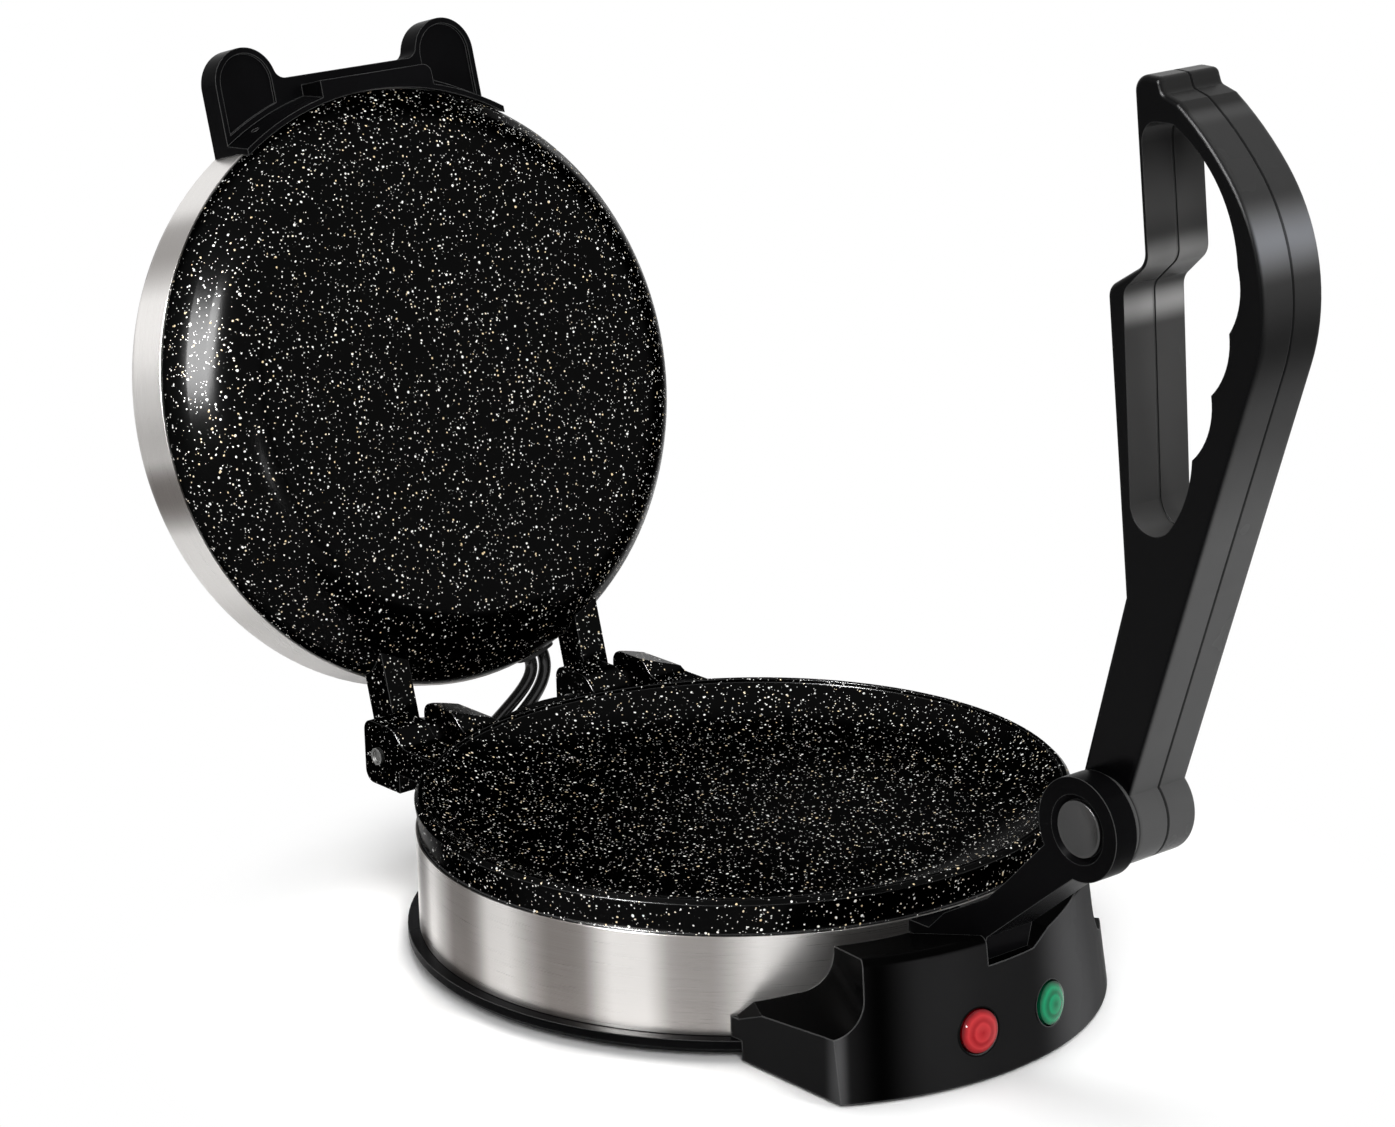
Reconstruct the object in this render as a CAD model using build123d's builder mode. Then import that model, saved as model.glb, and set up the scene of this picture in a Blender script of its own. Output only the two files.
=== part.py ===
"""Electric roti maker with a cast dish plate, a hinged lid and a folding press handle.

Millimetres. +Z is up and the origin is on the floor, under the centre of the round base.
+Y points to the lid hinge and -Y to the control housing with the press handle.
The lid is drawn in its open rest position, through planes turned about the hinge axis.
"""
from build123d import *
from math import atan2, cos, degrees, radians, sin
import os

os.makedirs("parts", exist_ok=True)

# Round base
rim_radius = 125.0
rim_top = 59.4
rim_edge = 1.6
dish_floor_z = 46.4
rim_wall = 3.4
dish_wall_run = 34.6
dish_wall_radius = 57.0
plate_thickness = 5.0
skirt_inset = 1.1
skirt_bottom = 41.0
band_bottom = 8.4
band_top = 46.0
band_sheet = 0.8
tray_lip = 4.5
tray_bottom = 3.0
tray_floor = 2.4
tray_edge = 2.0
foot_radius = 9.0
seat_gap = 0.2
post_inset = 33.0
post_angles = (30, 150, 270)
post_radius = 6.0
shield_z = 25.0
shield_sheet = 0.8
heater_circle = 70.0
heater_tube = 4.0
rib_gap = 0.3
rib_width = 2.2

# Hinge and lid, heights measured from the floor with the lid closed
hinge_reach = 13.2
hinge_z = 51.0
open_angle = 104.8
hinge_pin_radius = 2.5
running_gap = 0.05
lug_inner_x = 25.0
lug_outer_x = 71.4
arm_inner_x = 42.4
arm_outer_x = 54.6
cheek_gap = 0.4
lid_face_z = 48.2
lid_shoulder_run = 33.5
lid_turn_radius = 30.0
lid_slope = 52.0
lid_slope_length = 8.0
lid_rise_radius = 20.4
lid_rise_angle = 34.4
cover_inset = 2.7
cover_bottom = 77.8
cover_top = 104.0
cover_corner = 6.0
lid_post_radius = 7.0
lid_shield_z = 72.0

# Control housing, a cone about its own upright axis
face_x = -22.0
face_back = 72.0
face_radius = 116.5
face_draft = 0.12
housing_bottom = 1.0
housing_top = 52.0
housing_wall = 2.6
top_fall = 0.275
top_edge = 3.0
left_wall_angle = 28.1
right_wall_angle = 36.4
wing_x = 85.0
notch_left = -27.5
notch_floor = 41.0
lamp_hole = 8.4

# Press arm and handle
pivot_reach = 82.0
pivot_z = 103.0
pivot_radius = 5.0
arm_left_x = -26.9
arm_right_x = -5.0
eye_right_x = -17.0
eye_radius = 18.5
tongue_left_x = -22.0
tongue_right_x = -10.0
tongue_reach = 24.0
tongue_depth = 15.0
hub_radius = 16.5
hub_left_x = -16.4
handle_half = 14.0
bush_radius = 7.5
grip_out = -3.0
grip_rise = 187.0
grip_radius = 65.4
grip_lean = 19.05

# Places where one piece is fixed to another
lid_entry_angle = 73.9
lid_entry_z = 83.4
bracket_screw_angles = (245, 295)
bracket_screw_z = 80.4
housing_screw_angles = (248, 280)
housing_screw_z = 28.0

# Screws and leads
screw_radius = 1.5
head_radius = 3.0
head_height = 2.0
head_fillet = 0.7
pin_chamfer = 0.6
lead_radius = 2.6

tray_radius = rim_radius + tray_lip
dish_mouth_radius = rim_radius - rim_wall
dish_floor_radius = dish_mouth_radius - dish_wall_run
skirt_radius = rim_radius - skirt_inset
post_circle = rim_radius - post_inset
cover_radius = rim_radius - cover_inset
lid_flat_radius = cover_radius - lid_shoulder_run
hinge_y = rim_radius + hinge_reach
face_y = face_back - rim_radius
pivot_y = -rim_radius - pivot_reach
tongue_front_y = -rim_radius - tongue_reach
tongue_back_y = tongue_front_y + tongue_depth
band_inner = rim_radius - band_sheet
tray_floor_top = tray_bottom + tray_floor
plate_underside = dish_floor_z - plate_thickness
lid_inside = lid_face_z + plate_thickness
cover_inner = cover_radius - band_sheet
face_slant = degrees(atan2(face_draft, 1))


def lid_point(y, z):
    """Turn a point of the closed lid's side view to the open position."""
    along = y - hinge_y
    above = z - hinge_z
    turn = radians(open_angle)
    return (
        hinge_y + along * cos(turn) + above * sin(turn),
        hinge_z - along * sin(turn) + above * cos(turn),
    )


# The closed lid's own frame, turned open: seen from above, from the front and from its side
lid_origin = (0, *lid_point(0, 0))
lid_up = (0, sin(radians(open_angle)), cos(radians(open_angle)))
lid_front = (0, -cos(radians(open_angle)), sin(radians(open_angle)))
lid_back = (0, cos(radians(open_angle)), -sin(radians(open_angle)))
lid_xy = Plane(origin=lid_origin, x_dir=(1, 0, 0), z_dir=lid_up)
lid_xz = Plane(origin=lid_origin, x_dir=(1, 0, 0), z_dir=lid_front)
lid_yz = Plane(origin=lid_origin, x_dir=lid_back, z_dir=(1, 0, 0))
lid_axis = Axis(lid_origin, lid_up)


def lid_spot(x, y, z):
    """A point of the closed lid in space, once the lid is open."""
    return (x, *lid_point(y, z))


def radial_plane(frame, angle, radius, height):
    """A plane on a round wall about the frame's axis that looks outward, its X level."""
    turn = radians(angle)
    outward = frame.x_dir * cos(turn) + frame.y_dir * sin(turn)
    return Plane(
        origin=frame.origin + outward * radius + frame.z_dir * height,
        x_dir=frame.y_dir * cos(turn) - frame.x_dir * sin(turn),
        z_dir=outward,
    )


def screw(seat, length, radius=screw_radius, head=head_radius):
    """A pan head screw whose head sits on the seat plane, its shank going down."""
    with BuildPart() as body:
        with BuildSketch(seat):
            Circle(head)
        extrude(amount=head_height)
        fillet(body.faces().sort_by(Axis(seat.origin, seat.z_dir))[-1].edges(), head_fillet)
        with BuildSketch(seat):
            Circle(radius)
        extrude(amount=-length)
    return body.part


def save(part, name):
    """Name a piece and write its file."""
    part.label = name
    export_step(part, "parts/" + name + ".step")


# ---------------------------------------------------------------- base tray
# A moulded tray: lip below the band, upstand inside it, vents and three posts.
# The centre pad stands on the floor under the push of the press handle.
upstand_top = 17.0
upstand_wall = 2.2
pad_radius = 18.0
vent_circle = 58.0
vent_count = 12
vent_length = 28.0
vent_width = 4.0
vent_start = 15
upstand_radius = band_inner - seat_gap

with BuildPart() as base_tray:
    with BuildSketch(Plane.XZ):
        with BuildLine():
            Polyline(
                (0, tray_bottom),
                (tray_radius - tray_edge, tray_bottom),
                (tray_radius, tray_bottom + tray_edge),
                (tray_radius, band_bottom - seat_gap),
                (upstand_radius, band_bottom - seat_gap),
                (upstand_radius, upstand_top),
                (upstand_radius - upstand_wall, upstand_top),
                (upstand_radius - upstand_wall, tray_floor_top),
                (0, tray_floor_top),
                close=True,
            )
        make_face()
    revolve(axis=Axis.Z)
    with BuildSketch(Plane.XY):
        Circle(pad_radius)
    extrude(amount=tray_bottom)
    with BuildSketch(Plane.XY.offset(tray_floor_top)):
        with PolarLocations(post_circle, len(post_angles), start_angle=post_angles[0]):
            Circle(post_radius)
    extrude(amount=shield_z - tray_floor_top)
    with BuildSketch(Plane.XY):
        with PolarLocations(vent_circle, vent_count, start_angle=vent_start):
            SlotOverall(vent_length, vent_width)
    extrude(amount=tray_floor_top, mode=Mode.SUBTRACT)
    with BuildSketch(Plane.XY):
        with PolarLocations(post_circle, len(post_angles), start_angle=post_angles[0]):
            Circle(screw_radius + running_gap)
    extrude(amount=shield_z, mode=Mode.SUBTRACT)
    with BuildSketch(Plane.XY):
        with PolarLocations(post_circle, len(post_angles), start_angle=post_angles[0]):
            Circle(head_radius + seat_gap)
    extrude(amount=tray_bottom + 2 * head_height, mode=Mode.SUBTRACT)
save(base_tray.part, "base_tray")

# ---------------------------------------------------------------- rubber feet
# Soft feet with a hollow sole: four under the tray and two under the control housing.
foot_x = 70.0
foot_y = 84.0
housing_foot_x = 40.0
housing_foot_y = -146.0
sole_depth = 1.0
sole_radius = 5.5
foot_fillet = 0.8

with BuildPart() as rubber_feet:
    with BuildSketch(Plane.XY):
        with GridLocations(2 * foot_x, 2 * foot_y, 2, 2):
            Circle(foot_radius)
        with Locations((face_x, housing_foot_y)):
            with GridLocations(2 * housing_foot_x, 0, 2, 1):
                Circle(foot_radius)
    extrude(amount=tray_bottom)
    fillet(rubber_feet.edges().group_by(Axis.Z)[0], foot_fillet)
    with BuildSketch(Plane.XY):
        with GridLocations(2 * foot_x, 2 * foot_y, 2, 2):
            Circle(sole_radius)
        with Locations((face_x, housing_foot_y)):
            with GridLocations(2 * housing_foot_x, 0, 2, 1):
                Circle(sole_radius)
    extrude(amount=sole_depth, mode=Mode.SUBTRACT)
save(rubber_feet.part, "rubber_feet")

# ---------------------------------------------------------------- base band
# A rolled sheet ring with two holes at the back: for the leads and for the mains cord.
lead_exit_angle = 98.0
lead_exit_z = 31.0
lead_spacing = 7.0
grommet_wall = 2.0
grommet_long = 2 * (lead_radius + grommet_wall) + lead_spacing
grommet_high = 2 * (lead_radius + grommet_wall)
gland_angle = 84.0
gland_z = 27.5
gland_radius = 6.0

lid_entry = radial_plane(lid_xy, lid_entry_angle, cover_radius, lid_entry_z)
lead_exit = radial_plane(Plane.XY, lead_exit_angle, rim_radius, lead_exit_z)
gland_seat = radial_plane(Plane.XY, gland_angle, rim_radius, gland_z)

with BuildPart() as base_band:
    with BuildSketch(Plane.XY.offset(band_bottom)):
        Circle(rim_radius)
        Circle(band_inner, mode=Mode.SUBTRACT)
    extrude(amount=band_top - band_bottom)
    with BuildSketch(lead_exit):
        SlotOverall(grommet_long + 2 * running_gap, grommet_high + 2 * running_gap)
    extrude(amount=grommet_high, both=True, mode=Mode.SUBTRACT)
    with BuildSketch(gland_seat):
        Circle(gland_radius + running_gap)
    extrude(amount=gland_radius, both=True, mode=Mode.SUBTRACT)
    for angle in housing_screw_angles:
        with BuildSketch(radial_plane(Plane.XY, angle, rim_radius, housing_screw_z)):
            Circle(screw_radius + running_gap)
        extrude(amount=gland_radius, both=True, mode=Mode.SUBTRACT)
save(base_band.part, "base_band")

# ---------------------------------------------------------------- lower plate
# One casting: dish, rim, skirt inside the band, heater ribs, bosses and hinge cheeks.
wall_foot_radius = rim_radius - rim_edge
skirt_wall = 3.0
shoulder_z = 50.0
lug_top = 64.5
lug_bottom = 38.5
lug_back = hinge_y + 9.8
lug_start = rim_radius - 28.0
lug_corner = 5.0
gusset_foot = rim_radius - 6.0
gusset_head = rim_radius + 7.0
boss_radius = 6.0
boss_hole_top = 37.5
cheek_inner_end = arm_inner_x - cheek_gap
cheek_outer_start = arm_outer_x + cheek_gap
band_clear_z = band_top + 2 * seat_gap
rib_inner = heater_circle - heater_tube - rib_gap - rib_width
rib_outer = heater_circle + heater_tube + rib_gap + rib_width

with BuildPart() as cheek_slopes:
    with BuildSketch(Plane.XZ.offset(-lug_back)):
        for start, end in ((-cheek_inner_end, -lug_inner_x), (cheek_outer_start, lug_outer_x)):
            with BuildLine():
                Polyline(
                    (start, lug_top),
                    (start, lug_top + lug_corner),
                    (end, lug_top + lug_corner),
                    (end, rim_top),
                    close=True,
                )
            make_face()
    extrude(amount=lug_back - gusset_foot)
    with BuildSketch(Plane.XY.offset(rim_top)):
        Circle(rim_radius)
    extrude(amount=lug_top + lug_corner - rim_top, mode=Mode.SUBTRACT)

with BuildPart() as lower_plate:
    with BuildSketch(Plane.XZ):
        with BuildLine():
            Polyline(
                (0, skirt_bottom),
                (skirt_radius, skirt_bottom),
                (skirt_radius, band_clear_z),
                (wall_foot_radius, band_clear_z),
                (rim_radius, rim_top - rim_edge),
                (rim_radius - rim_edge, rim_top),
                (0, rim_top),
                close=True,
            )
        make_face()
    revolve(axis=Axis.Z)
    with BuildSketch(Plane.YZ.offset(-lug_outer_x)) as lug:
        with BuildLine():
            rise = Spline(
                (gusset_foot, rim_top - rim_edge),
                (gusset_head, lug_top),
                tangents=[(1, 0), (1, 0)],
            )
            Polyline(
                rise @ 1,
                (lug_back, lug_top),
                (lug_back, lug_bottom),
                (rim_radius + seat_gap, lug_bottom),
                (rim_radius + seat_gap, band_clear_z),
                (lug_start, band_clear_z),
                (lug_start, rim_top - rim_edge),
                rise @ 0,
            )
        make_face()
        fillet(lug.vertices().group_by(Axis.X)[-1], lug_corner)
    extrude(amount=2 * lug_outer_x)
    with BuildSketch(Plane.XY.offset(lug_bottom)):
        with Locations((0, lug_back)):
            Rectangle(2 * lug_inner_x, 2 * lug_back)
            with GridLocations(cheek_inner_end + cheek_outer_start, 0, 2, 1):
                Rectangle(cheek_outer_start - cheek_inner_end, 2 * lug_back)
        Circle(rim_radius, mode=Mode.SUBTRACT)
        Rectangle(2 * lug_outer_x, 2 * lug_start, mode=Mode.SUBTRACT)
    extrude(amount=lug_top - lug_bottom, mode=Mode.SUBTRACT)
    with BuildSketch(Plane.XZ):
        with BuildLine():
            Polyline((dish_floor_radius, dish_floor_z), (0, dish_floor_z), (0, lug_top))
            Polyline((0, lug_top), (dish_mouth_radius, lug_top), (dish_mouth_radius, rim_top - rim_edge))
            RadiusArc(
                (dish_floor_radius, dish_floor_z),
                (dish_mouth_radius, rim_top - rim_edge),
                -dish_wall_radius,
            )
        make_face()
    revolve(axis=Axis.Z, mode=Mode.SUBTRACT)
    with BuildSketch(Plane.XZ):
        with BuildLine():
            Polyline(
                (dish_floor_radius, plate_underside),
                (0, plate_underside),
                (0, lug_bottom),
                (skirt_radius - skirt_wall, lug_bottom),
                (skirt_radius - skirt_wall, shoulder_z),
            )
            RadiusArc(
                (dish_floor_radius, plate_underside),
                (skirt_radius - skirt_wall, shoulder_z),
                -2 * dish_wall_radius,
            )
        make_face()
    revolve(axis=Axis.Z, mode=Mode.SUBTRACT)
    with BuildSketch(Plane.XY.offset(plate_underside)):
        Circle(rib_outer)
        Circle(rib_outer - rib_width, mode=Mode.SUBTRACT)
        Circle(rib_inner + rib_width)
        Circle(rib_inner, mode=Mode.SUBTRACT)
    extrude(amount=-heater_tube)
    with BuildSketch(Plane.XY.offset(shield_z + shield_sheet)):
        Circle(boss_radius)
        with PolarLocations(post_circle, len(post_angles), start_angle=post_angles[0]):
            Circle(boss_radius)
    extrude(amount=plate_underside + rib_width - shield_z - shield_sheet)
    with BuildSketch(Plane.XY.offset(shield_z)):
        Circle(screw_radius + running_gap)
        with PolarLocations(post_circle, len(post_angles), start_angle=post_angles[0]):
            Circle(screw_radius + running_gap)
    extrude(amount=boss_hole_top - shield_z, mode=Mode.SUBTRACT)
    with BuildSketch(Plane.YZ):
        with Locations((hinge_y, hinge_z)):
            Circle(hinge_pin_radius + running_gap)
    extrude(amount=lug_outer_x, both=True, mode=Mode.SUBTRACT)
    add(cheek_slopes.part, mode=Mode.SUBTRACT)
save(lower_plate.part, "lower_plate")

# ---------------------------------------------------------------- heating parts of the base
# A tube ring bent from one rod with two terminals, a sheet shield, a disc thermostat
# and a fuse tube held by a clip.
ring_opening = 20.0
terminal_radius = 1.6
terminal_length = 7.0
shield_radius = 106.0
shield_hole = 1.8
thermostat_spot = 30.0
thermostat_radius = 8.5
thermostat_height = 9.0
flange_radius = 11.5
flange_sheet = 1.2
fuse_radius = 2.2
fuse_length = 18.0
clip_width = 6.0
clip_wall = 1.0


def ring_heater(frame, height, side):
    """A ring tube about the frame's axis, its terminals pointing to one side."""
    centre = frame.offset(height)
    section = Plane(
        origin=centre.origin,
        x_dir=centre.x_dir * cos(radians(ring_opening / 2)) + centre.y_dir * sin(radians(ring_opening / 2)),
        z_dir=centre.x_dir * sin(radians(ring_opening / 2)) - centre.y_dir * cos(radians(ring_opening / 2)),
    )
    with BuildPart() as body:
        with BuildSketch(section):
            with Locations((heater_circle, 0)):
                Circle(heater_tube)
        revolve(axis=Axis(centre.origin, centre.z_dir), revolution_arc=360 - ring_opening)
        with BuildSketch(centre):
            for end in (-1, 1):
                turn = radians(end * (ring_opening / 2 + terminal_radius))
                with Locations((heater_circle * cos(turn), heater_circle * sin(turn))):
                    Circle(terminal_radius)
        extrude(amount=side * (heater_tube + terminal_length))
    return body.part


def disc_thermostat(seat):
    """A disc thermostat whose flange lies on the seat plane, its body standing off it."""
    with BuildPart() as body:
        with BuildSketch(seat):
            Circle(flange_radius)
        extrude(amount=flange_sheet)
        with BuildSketch(seat):
            Circle(thermostat_radius)
        extrude(amount=thermostat_height)
        with BuildSketch(seat.offset(thermostat_height)):
            with GridLocations(thermostat_radius, 0, 2, 1):
                Rectangle(clip_wall, 2 * terminal_radius)
        extrude(amount=clip_width)
    return body.part


def sheet_shield(frame, hole):
    """A round sheet with holes for the posts."""
    with BuildPart() as body:
        with BuildSketch(frame):
            Circle(shield_radius)
            with PolarLocations(post_circle, len(post_angles), start_angle=post_angles[0]):
                Circle(hole, mode=Mode.SUBTRACT)
        extrude(amount=shield_sheet)
    return body.part


save(ring_heater(Plane.XY, plate_underside - heater_tube, -1), "lower_heater")

with BuildPart() as lower_heat_shield:
    add(sheet_shield(Plane.XY.offset(shield_z), shield_hole))
    with BuildSketch(Plane.XY.offset(shield_z)):
        Circle(shield_hole)
    extrude(amount=shield_sheet, mode=Mode.SUBTRACT)
save(lower_heat_shield.part, "lower_heat_shield")

thermostat_seat = Plane(origin=(thermostat_spot, 0, plate_underside), x_dir=(1, 0, 0), z_dir=(0, 0, -1))
save(disc_thermostat(thermostat_seat), "lower_thermostat")

with BuildPart() as thermal_fuse:
    with BuildSketch(Plane.YZ.offset(-thermostat_spot - fuse_length / 2)):
        with Locations((0, plate_underside - fuse_radius)):
            Circle(fuse_radius)
    extrude(amount=fuse_length)
    with BuildSketch(Plane.YZ.offset(-thermostat_spot - clip_width / 2)):
        with Locations((0, plate_underside - fuse_radius)):
            Circle(fuse_radius + clip_wall)
        with Locations((0, plate_underside - clip_wall / 2)):
            Rectangle(2 * flange_radius, clip_wall)
        with Locations((0, plate_underside + flange_radius)):
            Rectangle(2 * flange_radius, 2 * flange_radius, mode=Mode.SUBTRACT)
    extrude(amount=clip_width)
save(thermal_fuse.part, "thermal_fuse")

bolt_seat = Plane(origin=(0, 0, shield_z), x_dir=(1, 0, 0), z_dir=(0, 0, -1))
save(screw(bolt_seat, boss_hole_top - shield_z - 1), "centre_bolt")

# ---------------------------------------------------------------- tray screws
# Three long screws from below, through the posts and the shield into the casting.
tray_seat_z = tray_bottom + 2 * head_height

with BuildPart() as tray_screws:
    for angle in post_angles:
        turn = radians(angle)
        spot = (post_circle * cos(turn), post_circle * sin(turn), tray_seat_z)
        add(screw(Plane(origin=spot, x_dir=(1, 0, 0), z_dir=(0, 0, -1)), boss_hole_top - tray_seat_z - 1))
save(tray_screws.part, "tray_screws")

# ---------------------------------------------------------------- terminal block
# The mains and the leads meet here: a block with three channels and clamp wells.
block_length = 36.0
block_width = 16.0
block_height = 13.0
block_y = 86.0
block_pitch = 11.0
block_fillet = 1.5
well_radius = 2.6
channel_radius = 2.2

with BuildPart() as terminal_block:
    with BuildSketch(Plane.XY.offset(tray_floor_top)):
        with Locations((0, block_y)):
            Rectangle(block_length, block_width)
    extrude(amount=block_height)
    fillet(terminal_block.edges().filter_by(Axis.Z), block_fillet)
    with BuildSketch(Plane.XY.offset(tray_floor_top + block_height)):
        with Locations((0, block_y)):
            with GridLocations(block_pitch, block_width / 2, 3, 2):
                Circle(well_radius)
    extrude(amount=-block_height / 2, mode=Mode.SUBTRACT)
    with BuildSketch(Plane.XZ.offset(-block_y)):
        with Locations((0, tray_floor_top + block_height / 2)):
            with GridLocations(block_pitch, 0, 3, 1):
                Circle(channel_radius)
    extrude(amount=block_width, both=True, mode=Mode.SUBTRACT)
save(terminal_block.part, "terminal_block")

# ---------------------------------------------------------------- grommets and cord gland
# Rubber grommets with a groove for the sheet, one at each end of the two leads.
grommet_flange = 1.6
grommet_inside = 1.3


def grommet(seat):
    """An oval grommet in a sheet wall whose outer face touches the seat plane."""
    with BuildPart() as body:
        with BuildSketch(seat):
            SlotOverall(grommet_long, grommet_high)
        extrude(amount=-grommet_inside - grommet_flange)
        with BuildSketch(seat):
            SlotOverall(grommet_long + grommet_wall, grommet_high + grommet_wall)
        extrude(amount=grommet_flange)
        with BuildSketch(seat.offset(-grommet_inside)):
            SlotOverall(grommet_long + grommet_wall, grommet_high + grommet_wall)
        extrude(amount=-grommet_flange)
        with BuildSketch(seat.offset(grommet_flange)):
            with GridLocations(lead_spacing, 0, 2, 1):
                Circle(lead_radius + running_gap)
        extrude(amount=-3 * grommet_flange - grommet_inside, mode=Mode.SUBTRACT)
    return body.part


save(grommet(lead_exit), "lead_grommet")

gland_flange = 9.0
gland_length = 8.0
gland_taper = 5
cord_hole = 3.4

with BuildPart() as cord_gland:
    with BuildSketch(gland_seat.offset(-grommet_inside - grommet_flange)):
        Circle(gland_radius)
    extrude(amount=grommet_inside + grommet_flange)
    with BuildSketch(gland_seat):
        Circle(gland_flange)
    extrude(amount=grommet_flange)
    with BuildSketch(gland_seat.offset(grommet_flange)):
        Circle(gland_radius)
    extrude(amount=gland_length, taper=gland_taper)
    with BuildSketch(gland_seat.offset(-grommet_inside)):
        Circle(gland_flange)
    extrude(amount=-grommet_flange)
    with BuildSketch(gland_seat.offset(-grommet_inside - 2 * grommet_flange)):
        Circle(cord_hole)
    extrude(amount=gland_length * 2, mode=Mode.SUBTRACT)
save(cord_gland.part, "cord_gland")

# ---------------------------------------------------------------- hinge pins and nuts
# One pin for each lug pair, its head on the left and its nut on the right.
pin_head_radius = 3.4
pin_head = 1.6
pin_nut_radius = 3.6
pin_nut = 2.2

with BuildPart() as hinge_pins:
    for start in (-lug_outer_x, lug_inner_x):
        with BuildSketch(Plane.YZ.offset(start)):
            with Locations((hinge_y, hinge_z)):
                Circle(hinge_pin_radius)
        extrude(amount=lug_outer_x - lug_inner_x + pin_nut)
        with BuildSketch(Plane.YZ.offset(start)):
            with Locations((hinge_y, hinge_z)):
                Circle(pin_head_radius)
        extrude(amount=-pin_head)
        with BuildSketch(Plane.YZ.offset(start - pin_head)):
            with Locations((hinge_y, hinge_z)):
                Circle(pin_head_radius - pin_head / 2)
        extrude(amount=pin_head / 2, taper=30, mode=Mode.SUBTRACT)
save(hinge_pins.part, "hinge_pins")

with BuildPart() as hinge_nuts:
    for start in (-lug_inner_x, lug_outer_x):
        with BuildSketch(Plane.YZ.offset(start)):
            with Locations((hinge_y, hinge_z)):
                RegularPolygon(pin_nut_radius, 6)
                Circle(hinge_pin_radius + running_gap, mode=Mode.SUBTRACT)
        extrude(amount=pin_nut)
save(hinge_nuts.part, "hinge_nuts")

# ---------------------------------------------------------------- upper plate
# The lid's casting: a flat face with a round shoulder, a spigot for the cover, heater ribs,
# three posts, and two arms that reach over the rim to the hinge.
spigot_radius = cover_inner - seat_gap
spigot_top = 83.0
arm_eye_radius = 9.0
arm_under_z = 61.6
arm_top_z = 76.0
arm_fillet = 0.5
arm_root_y = 100.0
arm_elbow_y = 129.2
lid_post_top = cover_top - band_sheet - seat_gap
lid_post_neck = 4.5
lid_hole_depth = 16.0


def dome_line(inset):
    """Half of the lid plate's section, parallel to its outer face at an inset."""
    flat = Line((0, lid_face_z + inset), (lid_flat_radius, lid_face_z + inset))
    turn = JernArc(flat @ 1, (1, 0), lid_turn_radius - inset, lid_slope)
    slope = PolarLine(turn @ 1, lid_slope_length, lid_slope)
    rise = JernArc(slope @ 1, turn % 1, lid_rise_radius - inset, lid_rise_angle)
    return flat @ 0, rise @ 1


with BuildPart() as upper_plate:
    for start in (-arm_outer_x, arm_inner_x):
        with BuildSketch(lid_yz.offset(start)):
            with BuildLine():
                FilletPolyline(
                    (arm_root_y, arm_under_z),
                    (arm_elbow_y, arm_under_z),
                    (arm_elbow_y, hinge_z),
                    (hinge_y + arm_eye_radius, hinge_z),
                    (hinge_y + arm_eye_radius, arm_under_z),
                    (hinge_y, arm_top_z),
                    (arm_root_y, arm_top_z),
                    radius=arm_fillet,
                    close=True,
                )
            make_face()
            with Locations((hinge_y, hinge_z)):
                Circle(arm_eye_radius)
        extrude(amount=arm_outer_x - arm_inner_x)
    with BuildSketch(lid_xz):
        with BuildLine():
            outer_start, outer_end = dome_line(0)
            inner_start, inner_end = dome_line(plate_thickness)
            Line(outer_start, inner_start)
            Polyline(
                outer_end,
                (spigot_radius, outer_end.Y),
                (spigot_radius, spigot_top),
                (inner_end.X, spigot_top),
                inner_end,
            )
        make_face()
    revolve(axis=lid_axis)
    with BuildSketch(lid_xy.offset(lid_inside)):
        Circle(rib_outer)
        Circle(rib_outer - rib_width, mode=Mode.SUBTRACT)
        Circle(rib_inner + rib_width)
        Circle(rib_inner, mode=Mode.SUBTRACT)
    extrude(amount=heater_tube)
    with BuildSketch(lid_xy.offset(lid_inside)):
        with PolarLocations(post_circle, len(post_angles), start_angle=post_angles[0]):
            Circle(lid_post_radius)
    extrude(amount=lid_shield_z - lid_inside)
    with BuildSketch(lid_xy.offset(lid_shield_z)):
        with PolarLocations(post_circle, len(post_angles), start_angle=post_angles[0]):
            Circle(lid_post_neck)
    extrude(amount=lid_post_top - lid_shield_z)
    with BuildSketch(lid_xy.offset(lid_post_top)):
        with PolarLocations(post_circle, len(post_angles), start_angle=post_angles[0]):
            Circle(screw_radius + running_gap)
    extrude(amount=-lid_hole_depth, mode=Mode.SUBTRACT)
    with BuildSketch(lid_yz):
        with Locations((hinge_y, hinge_z)):
            Circle(hinge_pin_radius + running_gap)
    extrude(amount=arm_outer_x, both=True, mode=Mode.SUBTRACT)
    for angle in bracket_screw_angles:
        with BuildSketch(radial_plane(lid_xy, angle, inner_end.X, bracket_screw_z)):
            Circle(screw_radius + running_gap)
        extrude(amount=2 * plate_thickness, both=True, mode=Mode.SUBTRACT)
    with BuildSketch(lid_entry):
        SlotOverall(grommet_long + grommet_wall + 2 * seat_gap, grommet_high + grommet_wall + 2 * seat_gap)
    extrude(amount=-2 * plate_thickness, mode=Mode.SUBTRACT)
save(upper_plate.part, "upper_plate")

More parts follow.
